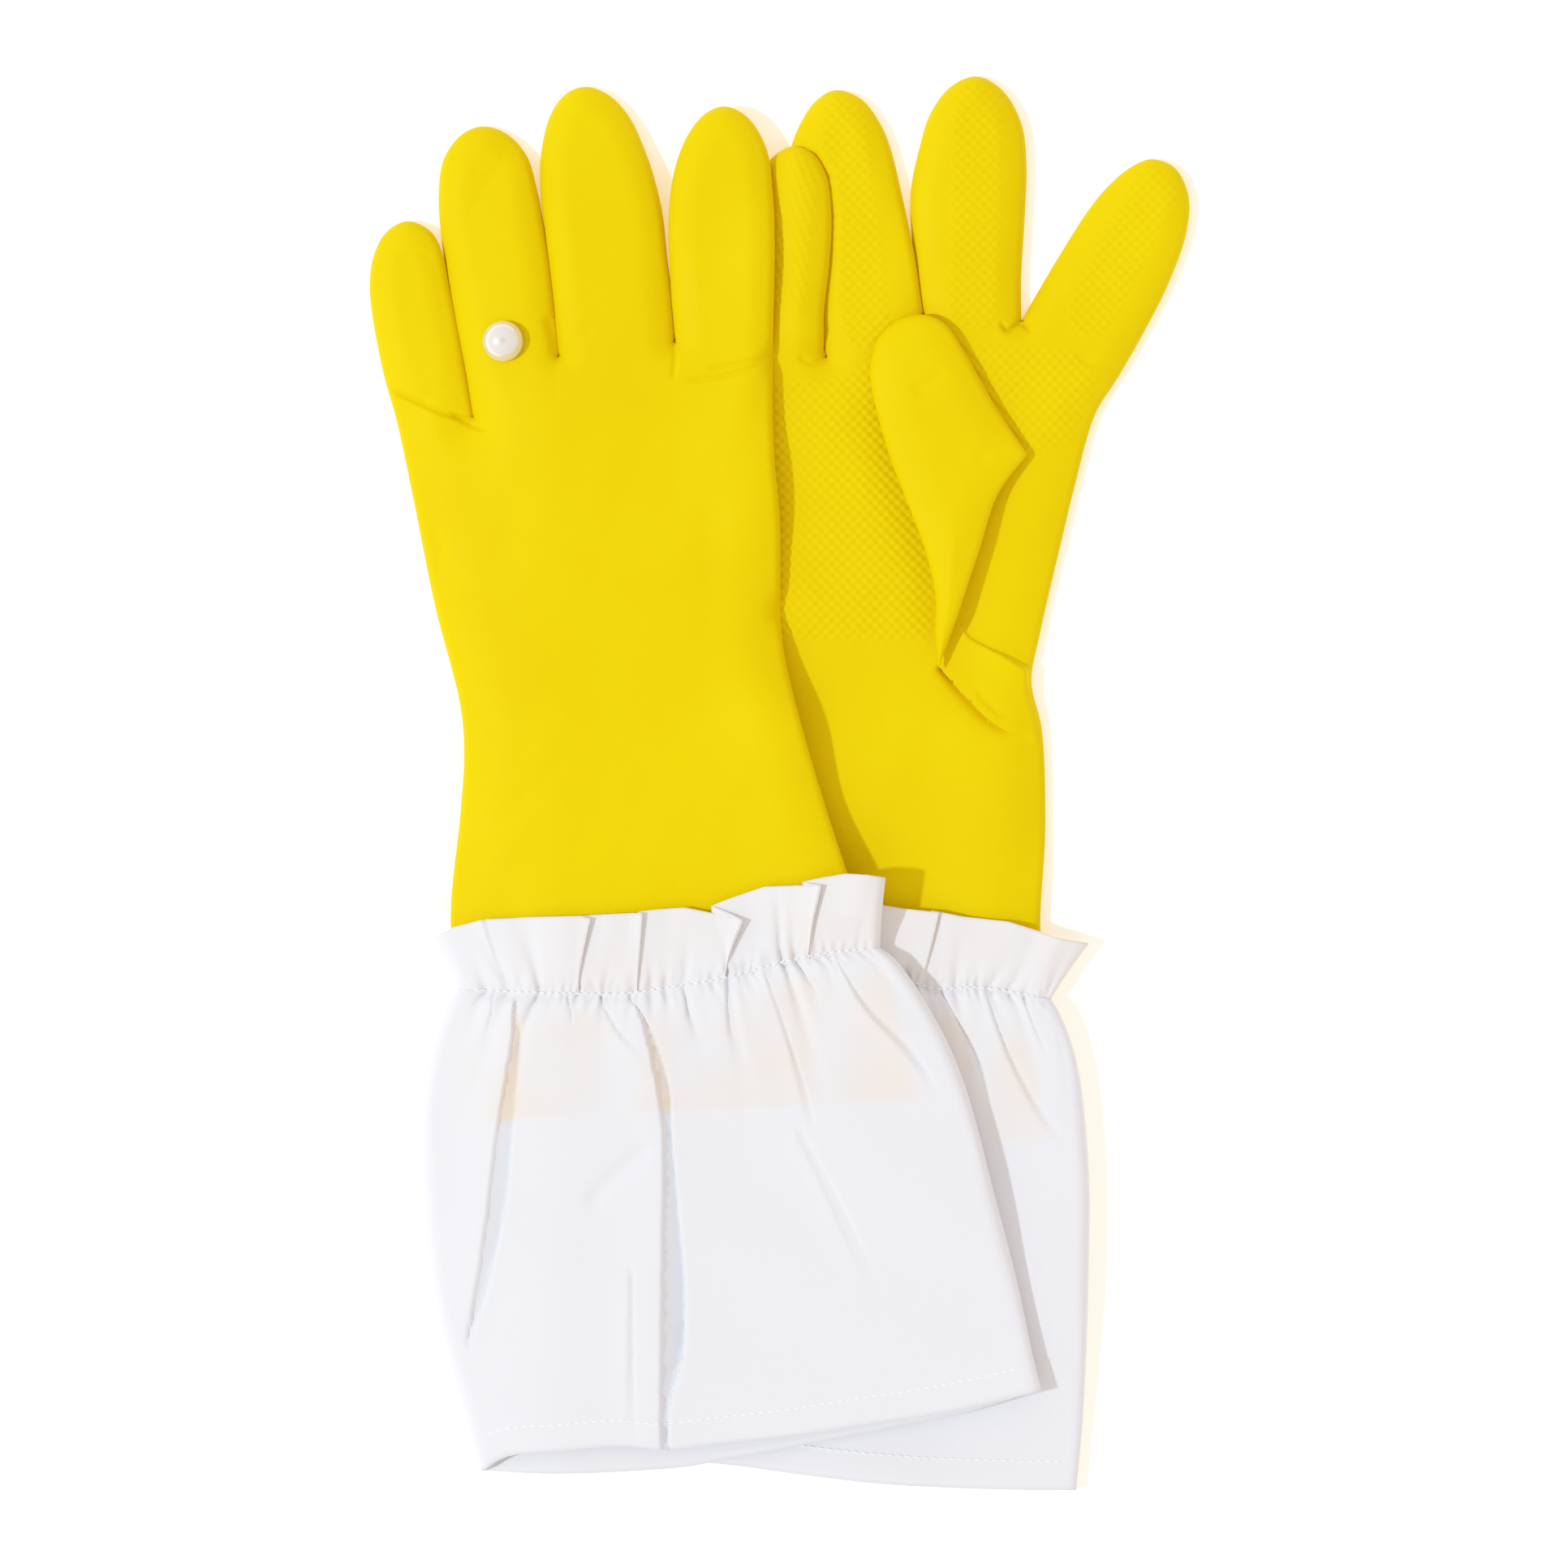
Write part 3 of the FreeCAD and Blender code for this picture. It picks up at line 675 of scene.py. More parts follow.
def glove_skin(name):
    """The rubber skin of one glove: a piece for the hand and gauntlet, and one for each folding finger.
    Also gives the ring of points round its open mouth."""
    glove = GLOVES[name]
    edge = np.vstack([curve(side, OUTLINE_STEP) for side in glove["edges"]] + [glove["edges"][-1][-1]])
    count = len(edge)
    cuff_right, cuff_left = edge[-1], edge[0]
    steps = round(np.linalg.norm(cuff_left - cuff_right) / COARSE)
    mouth = cuff_right + (cuff_left - cuff_right) * np.arange(1, steps)[:, None] / steps
    outline = np.vstack([edge, mouth])
    hood_lines = [mirror_thumb(line) if glove["hood_mirror"] else line for line in (HOOD_FOOT, HOOD_HEAD)]
    crease_lines = [line for line, _, width in glove["creases"] if width < 2.0]

    def fine_share(points):
        share = grip_share(points, glove["zone"], glove["pads"])
        share[near_lines(points, crease_lines + hood_lines, 3.0)] = 1.0
        return share

    seams = {}
    for finger, (a, b) in glove["seams"].items():
        ends = [int(np.argmin(np.linalg.norm(edge - np.array(p), axis=1))) for p in (a, b)]
        seams[finger] = tuple(ends)
    rows = [line_rows(crease_lines, (-1.1, -0.55, 0.0, 0.55, 1.1), 0.8)]
    if name == "right":
        rows.append(line_rows(hood_lines, (-3.0, -2.0, -1.2, -0.6, -0.12, 0.12, 0.6, 1.2, 2.0, 3.0), 0.7))
    extra = lay_points(outline, count, fine_share, np.vstack(rows))
    where, faces, on_outline = triangulate(outline, extra, seams.values())
    gap = Path(edge, OUTLINE_STEP).near(where)[0]
    on_edge = (on_outline >= 0) & (on_outline < count)
    gap[on_edge] = 0.0

    rest = glove["settle"](where)
    half = skin_half(name, where)
    reach = FULL_REACH + (FULL_FINGER - FULL_REACH) * ramp(where[:, 1], *FINGERS_FROM)
    fullness = 1.0 - (1.0 - np.minimum(gap / reach, 1.0)) ** 2
    if name == "right":
        fullness *= 1.0 - 0.95 * pressed_right(where)
    fold = np.minimum(EDGE_HALF, half) * rim(gap, EDGE_RADIUS)
    crown = np.maximum(half - EDGE_HALF, 0.0) * fullness
    top, bottom = skin_relief(glove, where, gap)
    if name == "right":
        rest[:, :2] += hood_shift(where)
    flat = np.zeros((len(where), 2))
    upper = rest + np.column_stack([flat, EDGE_HALF + fold + 2.0 * crown + top])
    lower = rest + np.column_stack([flat, EDGE_HALF - fold - np.minimum(bottom, 0.0)])
    lower[:, 2] = np.maximum(lower[:, 2], 0.0)

    # the lower skin shares the outline's points, except along the open mouth
    points, all_faces = two_layers(upper, lower, faces, on_edge)
    normals = vertex_normals(points, all_faces)

    centres = where[faces].mean(1)
    owner = np.zeros(len(faces), int)
    for number, (finger, (a, b)) in enumerate(seams.items(), 1):
        owner[inside(centres, edge[a:b + 1])] = number
    owner = np.concatenate([owner, owner])
    pieces = split_skin(points, all_faces, normals, owner, ["hand", *seams])
    mouth_ids = [int(np.flatnonzero(on_outline == i)[0]) for i in (*range(count - 1, len(outline)), 0)]
    ring = np.vstack([upper[mouth_ids], lower[mouth_ids][-2:0:-1]])
    return pieces, ring


def lining(ring, depth):
    """The turned-in end of the gauntlet: points and faces of a short closed pocket behind its mouth."""
    centre = ring.mean(0)
    toward = np.array([-0.12, 1.0, 0.0])
    rows = [ring]
    for share, shrink in ((0.0, 0.985), (0.5, 0.97), (1.0, 0.955)):
        row = centre + (ring - centre) * np.array([shrink, 1.0, 0.62]) + toward * depth * share
        rows.append(row)
    columns = len(ring)
    points = np.vstack(rows)
    faces = [f[::-1] for f in grid_faces(len(rows), columns)]
    faces.append([(len(rows) - 1) * columns + i for i in range(columns)])
    return points, faces


# ---------------------------------------------------------------- the thumb

THUMB_LEFT = [(45.8, 33), (44.8, 43.5), (45, 53), (42, 67), (36, 83), (31.5, 95), (27.5, 109.5), (26, 118.5),
              (28, 128), (33.5, 133.5), (41, 135.5), (47.5, 133), (54, 123.5), (62, 109.5), (71.5, 95)]
THUMB_RIGHT = [(71.5, 95), (63, 83.5), (57.5, 67), (54, 56.5), (50.5, 46), (45.8, 33)]
THUMB_THICK = 6.0
THUMB_HALF = 1.7
THUMB_EDGE = 2.0
THUMB_FULL = 11.0
THUMB_CREASES = [([(38, 112), (43, 115.5), (48, 120)], 0.5, 2.4), ([(56, 92), (62, 97), (66, 95)], 0.3, 2.0)]


def thumb_piece(name, on_palm):
    """The thumb's skin, flat on the palm or mirrored on the floor."""
    outline = np.vstack([curve(THUMB_LEFT, OUTLINE_STEP), curve(THUMB_RIGHT, OUTLINE_STEP)])
    border = Path(np.vstack([outline, outline[:1]]), OUTLINE_STEP)
    run = np.roll(outline, -1, axis=0) - np.roll(outline, 1, axis=0)
    extra = edge_rings(outline, run, outline, border, THUMB_EDGE)
    grid = hex_grid(outline.min(0), outline.max(0), 1.1)
    grid = grid[inside(grid, outline)]
    extra.append(grid[border.near(grid)[0] > THUMB_EDGE + 0.3])
    where, faces, on_outline = triangulate(outline, np.vstack(extra), [])
    gap = border.near(where)[0]
    gap[on_outline >= 0] = 0.0
    fullness = 1.0 - (1.0 - np.minimum(gap / THUMB_FULL, 1.0)) ** 2
    fold = THUMB_HALF * rim(gap, THUMB_EDGE)
    crown = (THUMB_THICK - 2.0 * THUMB_HALF) * fullness
    x, y = where.T
    near_root = smooth((72.0 - y) / 32.0)
    propped = 2.0 * smooth((104.0 - y) / 34.0) * smooth((y - 36.0) / 14.0)
    centre = np.interp(y, [33, 53, 67, 95, 135], [46, 49, 50, 50, 38])
    tilt = near_root * 0.16 * (x - centre)
    level_z = STACK_PALM + THUMB_HALF + 0.5 + propped
    top = smooth(gap / THUMB_EDGE) * (0.2 * ripple(where, 40.0, 9) + crease_relief(where, THUMB_CREASES))
    upper = np.column_stack([where, level_z + tilt + fold + crown + top])
    lower = np.column_stack([where, level_z + tilt - fold])
    points, all_faces = two_layers(upper, lower, faces, on_outline >= 0)
    if not on_palm:
        points = mirror_thumb(points)
        points[:, 2] = np.maximum(STACK_PALM + THUMB_THICK + 0.3 - points[:, 2], 0.0)
    return make_mesh(name, points, all_faces.tolist())


# ---------------------------------------------------------------- the sleeves

SLEEVES = {
    "left": {
        "lift": STACK_SLEEVE,
        "gather": [(-93, -59.5), (-70, -60.3), (-45, -60.5), (-33, -59), (-15.5, -56), (-3, -52.5),
                   (13, -49),
                   (29, -47.5)],
        "left": [(-93, -59.5), (-95.5, -63.5), (-99, -71.5), (-102.5, -88), (-103.5, -111.5), (-102, -133),
                 (-98, -158.5), (-92, -180), (-86.5, -199)],
        "right": [(29, -47.5), (33.5, -51), (46, -70), (53.5, -87.5), (61.5, -117), (68.5, -144), (73, -165),
                  (75.5, -175.5)],
        "front_hem": [(-86.5, -199), (-78.5, -194.5), (-62, -192.8), (-45, -191.5), (-31.5, -192.5),
                      (-19.5, -191),
                      (3, -188.5), (26.5, -185), (52, -181), (75.5, -175.5)],
        "back_hem": [(-86.5, -199.3), (-63.5, -200), (-27.5, -198), (-19, -196.5), (8, -191.5),
                     (33.5, -186.5),
                     (55, -182), (75.5, -175.8)],
        "rubber": ((-95.5, -98.5), (41, -91.5)),
        "gathers": 46, "seed": 11, "side": "left", "double": [(-44, 5), (15, 7), (-86, 6)],
    },
    "right": {
        "lift": 0.0,
        "gather": [(-44, -52.3), (-10, -54), (20, -55.5), (36, -57), (45.5, -59.5), (57.5, -59),
                   (78.5, -62.5)],
        "left": [(-44, -52.3), (-50, -72), (-56, -99.5), (-59, -130), (-60, -159), (-60.5, -194)],
        "right": [(78.5, -62.5), (81, -66.5), (86, -80.5), (89.5, -111.5), (89.5, -141.5), (88, -182),
                  (86, -204.8)],
        "front_hem": [(-60.5, -194), (-19, -197), (8, -200.5), (30.5, -203), (61.5, -204.5), (86, -204.8)],
        "back_hem": [(-60.5, -194.3), (-19, -197.3), (8, -200.8), (30.5, -203.3), (61.5, -204.8),
                     (86, -205)],
        "rubber": ((-52, -96), (79.5, -105)),
        "gathers": 44, "seed": 23, "side": "right", "double": [(60, 5)],
    },
}
# Folds below the gather. Each is the crisp edge of a panel, whose cloth slopes down to the right of it
# and goes under the next panel: its line, its width at the top and at the bottom, and its slope.
SLEEVE_STRIPS = {
    "left": [
        ([(-52.6, -61), (-46.8, -72), (-38.3, -80.8)], 0.7, 1.5, 0.9),
        ([(-5, -54), (-0.5, -67), (5.5, -87.5), (9, -104)], 0.9, 2.6, 0.6),
        ([(15.5, -50), (24, -64.5), (37.5, -79.5), (45, -93)], 1.0, 3.0, 0.9),
        ([(-16, -57), (-15.5, -66), (-14.5, -77)], 0.8, 1.8, 0.9),
        ([(-43.5, -140), (-43.8, -165), (-44, -193)], 1.8, 2.6, 0.4),
        ([(-28, -58), (-27, -66), (-24, -74)], 0.7, 1.6, 0.7),
        ([(4, -100), (14, -120), (27, -150)], 2.5, 4.5, 0.12),
        ([(-83, -60.5), (-83.5, -66), (-86, -73)], 0.7, 1.4, 0.7),
        ([(-62, -61), (-60.5, -66), (-61, -70)], 0.6, 1.3, 0.7),
        ([(4.5, -52), (8, -57), (10.5, -62)], 0.6, 1.4, 0.7),
    ],
    "right": [
        ([(46, -60), (50.5, -69), (55.5, -79.5), (59, -95)], 1.0, 3.0, 0.9),
        ([(59.5, -61), (63, -72), (68, -84), (76, -98), (85, -109)], 1.0, 2.4, 0.9),
        ([(70, -62), (73, -70), (77, -80)], 0.6, 1.6, 0.6),
        ([(20, -60), (28, -90), (40, -130)], 1.0, 3.0, 0.4),
        ([(-20, -58), (-24, -90), (-30, -130)], 1.0, 3.0, 0.6),
    ],
}
# The pleats of the left sleeve: the left panel's crisp edge, the next panel's edge, and the slope
# between them.
PLEATS = {"right": [], "left": [
    ([(-76.4, -61), (-77.3, -72), (-79.8, -88), (-82, -102), (-84.2, -121), (-87.6, -144.5), (-91, -163)],
     [(-75.9, -61), (-74.5, -72), (-75.4, -88), (-76.6, -102), (-78.6, -121), (-84.6, -147),
      (-90.5, -163)], 0.62),
    ([(-45, -61), (-41, -65), (-37.9, -75.6), (-36.2, -84.5), (-34.3, -95), (-33.7, -106), (-34, -140),
      (-34.5, -193)],
     [(-44, -61), (-39.5, -66), (-36, -73), (-31.3, -88), (-30.6, -100), (-28.5, -125), (-27, -144),
      (-27.5, -163), (-31.5, -179), (-31.5, -193)], 0.78),
]}
SLEEVE_CREASE = [(-35.5, -104), (-46, -112), (-57, -123)]
RISER = 0.8              # how far from its edge a panel comes down to the cloth under it
OVERHANG = 1.1           # how far a panel reaches over the cloth that goes under it


def strip(points, line, width_from, width_to, slope):
    """Relief of the cloth between a panel's crisp edge and the next panel, and the lean of the next."""
    gap, side, share = Path(line).near(points)
    past = gap * side
    width = width_from + (width_to - width_from) * share
    ends = fade(share, 0.04, 0.5)
    down = slope * np.clip(past, 0.0, width) * smooth(0.5 - (past - width) / RISER)
    shoulder = 0.3 * np.exp(-(np.minimum(past, 0.0) / 3.5) ** 2) * (past < 0.0)
    return ends * (shoulder - down), ends * overhang(past - width)


def overhang(past):
    """How far a panel leans back over the cloth under it, at a distance past its edge."""
    return OVERHANG * smooth((past + 0.5 * RISER) / RISER) * np.exp(-np.maximum(past, 0.0) / 2.0)


CLOTH_LIFT = 0.25        # the cloth's underside is this far above what it lies on
HEM_DEEP = 9.0
HEM_INSET = 0.8          # the hem's stitches are this far inside its fold
LONG_PLEAT = -190.0      # a pleat that goes below this runs on into the hem
HEM_FLATTER, HEM_REACH = 3.6, 70.0    # the sleeve's two layers come together towards its hem
PINCH, PINCH_REACH = 0.8, 2.6         # and where the elastic draws them in
EDGE_FOLD = 3.2          # rounding where the sleeve's two layers turn into each other


def pinched(away):
    """The flat sleeve's thickness at distances from the gather."""
    return SLEEVE_THICK - PINCH * np.exp(-(away / PINCH_REACH) ** 2)


def sleeve_floor(sleeve, flat):
    """The height that a sleeve's underside rests at."""
    return sleeve["lift"] * rise(flat[:, 0]) + CLOTH_LIFT


def gather_calm(away):
    """How much of the gathers' depth is left beside the line of stitches."""
    return 1.0 - 0.45 * smooth(1.0 - away / 1.2)


def signed_gap(points, line):
    """Distance from a line that runs down the sleeve: positive to its right in plan."""
    gap, side, share = Path(line).near(points)
    return gap * side, share


def gather_valleys(sleeve):
    """The small valleys that the elastic draws into the cloth: place, depth, width, reach and drift."""
    random = np.random.default_rng(sleeve["seed"])
    count = sleeve["gathers"]
    places = (np.arange(count) + 0.5 + random.uniform(-0.45, 0.45, count)) / count
    depths = 0.15 + 1.75 * random.uniform(0.0, 1.0, count) ** 1.6
    widths = random.uniform(0.22, 0.42, count) / count
    reaches = random.uniform(4.0, 9.0, count)
    long_ones = random.choice(count, count // 4, replace=False)
    reaches[long_ones] *= random.uniform(1.8, 3.2, len(long_ones))
    drifts = random.uniform(-0.0011, 0.0011, count)
    long_valleys = list(zip(places, depths, widths, reaches, drifts))
    puckers = 2 * count
    places = (np.arange(puckers) + 0.5 + random.uniform(-0.4, 0.4, puckers)) / puckers
    length = sleeve["paths"]["gather"].length
    return long_valleys + [(place, random.uniform(0.3, 1.05), random.uniform(0.5, 0.75) / length,
                            random.uniform(1.6, 4.2), random.uniform(-0.004, 0.004)) for place in places]


def gathers(sleeve, across, away):
    """Relief of the small gathers at shares across and distances away from the gather line."""
    total = np.zeros_like(across)
    for place, depth, width, reach, drift in gather_valleys(sleeve):
        spread = width * (1.0 + away / 14.0)
        offset = across - place - drift * away
        total -= depth * np.exp(-(offset / spread) ** 2) * np.exp(-(away / reach) ** 1.4)
    return total


def sleeve_point(name, across, down, side):
    """The cloth at shares across and down the sleeve, on its upper (1) or lower (-1) layer."""
    sleeve = SLEEVES[name]
    paths = sleeve["paths"]
    hem = paths["front_hem" if side > 0 else "back_hem"]
    s, t = across[:, None], down[:, None]
    start, end = paths["gather"].at(across), hem.at(across)
    left, right = paths["left"].at(down), paths["right"].at(down)
    corners = ((1 - s) * (1 - t) * paths["gather"].at(0.0) + s * (1 - t) * paths["gather"].at(1.0)
               + (1 - s) * t * hem.at(0.0) + s * t * hem.at(1.0))
    flat = (1 - t) * start + t * end + (1 - s) * left + s * right - corners
    away = np.linalg.norm(flat - start, axis=1)
    to_hem = np.linalg.norm(flat - end, axis=1)
    width = np.linalg.norm(right - left, axis=1)
    edge = np.minimum(across, 1.0 - across) * width
    fullness = rim(edge, EDGE_FOLD)
    thick = pinched(away) - HEM_FLATTER * smooth(1.0 - to_hem / HEM_REACH)
    thick += 0.5 * np.exp(-((away - 9.0) / 6.0) ** 2)
    floor = sleeve_floor(sleeve, flat)
    inner = smooth((edge - 0.5) / 4.0)
    if side > 0:
        relief = gathers(sleeve, across, away) * inner * gather_calm(away)
        folds = [strip(flat, *fold) for fold in SLEEVE_STRIPS[name]]
        folds += [pleat_relief(flat, *pleat)[:2] for pleat in PLEATS[name]]
        lean = sum(over for _, over in folds)
        relief += sum(height for height, _ in folds) * smooth((edge + 1.0) / 4.0)
        if name == "left":
            relief += groove(flat, SLEEVE_CREASE, 1.1, 2.4)
        relief += 0.5 * ripple(flat, 48.0, sleeve["seed"]) * inner * smooth(away / 20.0)
        relief += 0.3 * (to_hem < HEM_DEEP) - 0.25 * np.exp(-((to_hem - HEM_DEEP + HEM_INSET) / 0.5) ** 2)
        z = floor + thick * (0.5 + 0.5 * fullness) + relief
        over_rubber = smooth((flat[:, 1] - rubber_end(sleeve, flat) + 3.0) / 2.0)
        z = np.maximum(z, floor + (1.0 + 4.4 * over_rubber) * inner)
        flat[:, 0] -= lean * inner
    else:
        relief = 0.4 * gathers(sleeve, across, away) * inner
        z = floor + thick * (0.5 - 0.5 * fullness) - relief
        if name == "right":
            z = np.maximum(z - 0.2, 0.02)
    return np.column_stack([flat, z])


def rubber_end(sleeve, points):
    """The height in plan that the rubber cuff inside a sleeve reaches down to."""
    (x0, y0), (x1, y1) = sleeve["rubber"]
    return y0 + (y1 - y0) * (points[:, 0] - x0) / (x1 - x0)


def pleat_relief(flat, left, right, slope):
    """Relief of the cloth that slopes from a pleat's left panel to under its right one, the right
    one's lean, and which points are on the slope."""
    past_left, share = signed_gap(flat, left)
    past_right, _ = signed_gap(flat, right)
    ends = smooth(share / 0.03) * smooth((1.0 - share) / 0.03 + 0.5 * (left[-1][1] < LONG_PLEAT))
    under = smooth(0.5 - past_right / RISER)
    down = slope * np.maximum(past_left, 0.0) * under
    puff = 0.9 * np.exp(-(np.minimum(past_left, 0.0) / 9.0) ** 2) * (past_left < 0.0)
    rest = 0.5 * np.exp(-np.maximum(past_right, 0.0) / 6.0) * (past_right > 0.0)
    return ends * (puff + rest - down), ends * overhang(past_right), ends * under * smooth(past_left / 0.6)


def sleeve_columns(width, step):
    """Shares across a sleeve: close together at its folded edges."""
    angles = np.radians([0.0, 22.0, 45.0, 67.0])
    edge = EDGE_FOLD * (1.0 - np.cos(angles)) / width
    count = int(round((width - 2.0 * EDGE_FOLD) / step))
    body = np.linspace(EDGE_FOLD / width, 1.0 - EDGE_FOLD / width, count)
    return np.concatenate([edge, body, 1.0 - edge[::-1]])


CLOTH = 0.45
UPPER_STEP, LOWER_STEP = 0.45, 0.95      # mesh spacing across the two layers
SLEEVE_ROWS = 92


def sleeve_piece(name):
    """The sleeve from its gather to its hem, both layers in one tube of cloth."""
    sleeve = SLEEVES[name]
    sleeve["paths"] = {key: Path(sleeve[key])
                       for key in ("gather", "left", "right", "front_hem", "back_hem")}
    upper = sleeve_columns(sleeve["paths"]["gather"].length, UPPER_STEP)
    lower = sleeve_columns(sleeve["paths"]["gather"].length, LOWER_STEP)[1:-1]
    rows = np.linspace(0.0, 1.0, SLEEVE_ROWS) ** 1.25
    points = []
    for down in rows:
        top = sleeve_point(name, upper, np.full(len(upper), down), 1)
        bottom = sleeve_point(name, lower[::-1], np.full(len(lower), down), -1)
        points.append(np.vstack([top, bottom]))
    columns = len(upper) + len(lower)
    points = np.vstack(points)
    faces = [f[::-1] for f in grid_faces(len(rows), columns)]
    piece = make_mesh(name + "_sleeve", points, faces)
    add_tint_and_painted_shade(piece, points, sleeve)
    thicken(piece)
    return piece


def add_tint_and_painted_shade(piece, points, sleeve):
    """Marks the cloth that has rubber under it, which shows through as a warm tint, and warms the pleats'
    slopes more as painted shade.
    """
    (x0, _), (x1, _) = sleeve["rubber"]
    above = points[:, 1] - rubber_end(sleeve, points)
    gather = np.array(sleeve["gather"], float)
    below = np.interp(points[:, 0], gather[:, 0], gather[:, 1]) - points[:, 1]
    under = smooth((above + 1.5) / 4.0) * smooth((points[:, 0] - x0 - 1.0) / 6.0)
    under *= smooth((below - 1.0) / 10.0)
    under *= smooth((x1 - 1.0 - points[:, 0] - 0.25 * above) / 7.0 + 0.5)
    for middle, reach in sleeve["double"]:
        beside = points[:, 0] - middle - 0.12 * (points[:, 1] + 75.0)
        under *= 1.0 - 0.75 * np.exp(-(beside / reach) ** 2)
    # painted shade: the tint is raised on the pleats' slopes, which lie in shade
    slopes = [pleat_relief(points[:, :2], *pleat)[2] for pleat in PLEATS[sleeve["side"]]]
    painted_shade_on_slopes = sum(slopes, np.zeros(len(points)))
    under *= 0.62 + 0.9 * painted_shade_on_slopes
    set_tint(piece, under)


def set_tint(piece, values):
    """Stores how warm the cloth's colour is at each point."""
    tint = piece.data.attributes.new("tint", "FLOAT", "POINT")
    tint.data.foreach_set("value", values.astype(np.float32))


def thicken(piece):
    """Gives the cloth its thickness, inwards."""
    shell = piece.modifiers.new("cloth", "SOLIDIFY")
    shell.thickness = CLOTH * MM
    shell.offset = -1.0
    shell.use_quality_normals = True
    return piece


# The frill's upper layer is a strip that folds over itself: each station has its place on the gather
# line, its place on the free edge, and how far it stands up there. A fold is where the run turns back.
FRILLS = {
    "left": [
        ((-93, -59.5), (-100, -44.5), 0.0), ((-88, -60), (-94, -41.5), 0.5),
        ((-78.3, -60.3), (-86.3, -39.5), 1.5),
        ((-77.6, -60.3), (-85, -39.3), 0.3),
        ((-70, -60.3), (-72, -38.6), 0.6), ((-60, -60.4), (-57.5, -38.2), 2.2),
        ((-58.2, -60.4), (-54.3, -39), 2.9),
        ((-58.4, -60.4), (-56, -38.8), 1.2), ((-58.2, -60.4), (-57.6, -38.2), 0.3),
        ((-54, -60.5), (-51, -37.8), 0.3), ((-46, -60.5), (-43, -37.4), 1.2),
        ((-41, -60.1), (-39.4, -37.4), 2.6),
        ((-41.2, -60), (-40.4, -37.2), 1.0), ((-40.8, -60), (-40.6, -37), 0.2),
        ((-36, -59.4), (-35, -36.3), 0.4), ((-27, -58.2), (-27.5, -35.8), 0.7),
        ((-19, -57), (-18, -37.7), 1.8),
        ((-16, -56.2), (-10.3, -39.6), 3.4), ((-16.3, -56.2), (-14, -37.6), 1.6),
        ((-15.8, -56), (-19.5, -35.2), 0.4),
        ((-12, -55.2), (-13.5, -32.9), 0.4), ((-5, -53), (-4.5, -29.8), 0.7), ((4, -51), (5, -29.4), 1.4),
        ((8.3, -50.2), (12.2, -29.4), 3.0), ((8.2, -50.2), (9.4, -28.9), 1.4),
        ((8.6, -50), (6.8, -28.3), 0.3),
        ((12, -49.3), (12, -27.2), 0.4), ((18, -48.6), (19, -26), 0.8), ((24, -48), (25.5, -26.4), 0.8),
        ((29, -47.5), (30.5, -27.2), 0.4),
    ],
    "right": [
        ((-44, -52.3), (-49, -33), 0.0), ((-20, -53.5), (-22, -33), 0.8), ((0, -54.5), (2, -33.5), 1.6),
        ((0.5, -54.5), (0, -33), 0.3), ((20, -55.5), (22, -34), 0.8), ((34, -56.7), (36, -36.3), 1.0),
        ((41, -58.2), (46.2, -37.4), 2.2), ((41.2, -58.2), (44.5, -37), 0.9),
        ((42, -58.5), (44, -36.8), 0.3),
        ((50, -59.7), (53, -38.6), 0.6), ((57.5, -59), (66, -40), 0.9), ((66, -60.2), (74, -42.5), 0.6),
        ((73, -61.5), (81, -45), 1.4), ((78.5, -62.5), (89.5, -46.5), 0.6),
    ],
}


FRILL_HEIGHT = 21.0
FRILL_TUCK = 0.25        # how far the frill's foot goes under the sleeve's top
FRILL_TINT = 0.35        # the rubber under it warms its colour
FRILL_STAND = 0.75       # share of the stations' heights that shows


def frill_run(name):
    """Close points along a frill's stations: their foot, their free edge and how far they stand up."""
    foot, edge, stand = (np.array(column, float) for column in zip(*FRILLS[name]))
    runs = np.maximum(np.linalg.norm(np.diff(edge, axis=0), axis=1), 0.8)
    place = np.concatenate([[0.0], np.cumsum(runs)])
    fine = [place[0]]
    for a, b in zip(place, place[1:]):
        fine += list(np.linspace(a, b, max(4, int(round((b - a) / 0.5))))[1:])
    fine = np.array(fine)
    return interpolated(fine, place, foot), interpolated(fine, place, edge), np.interp(fine, place, stand)


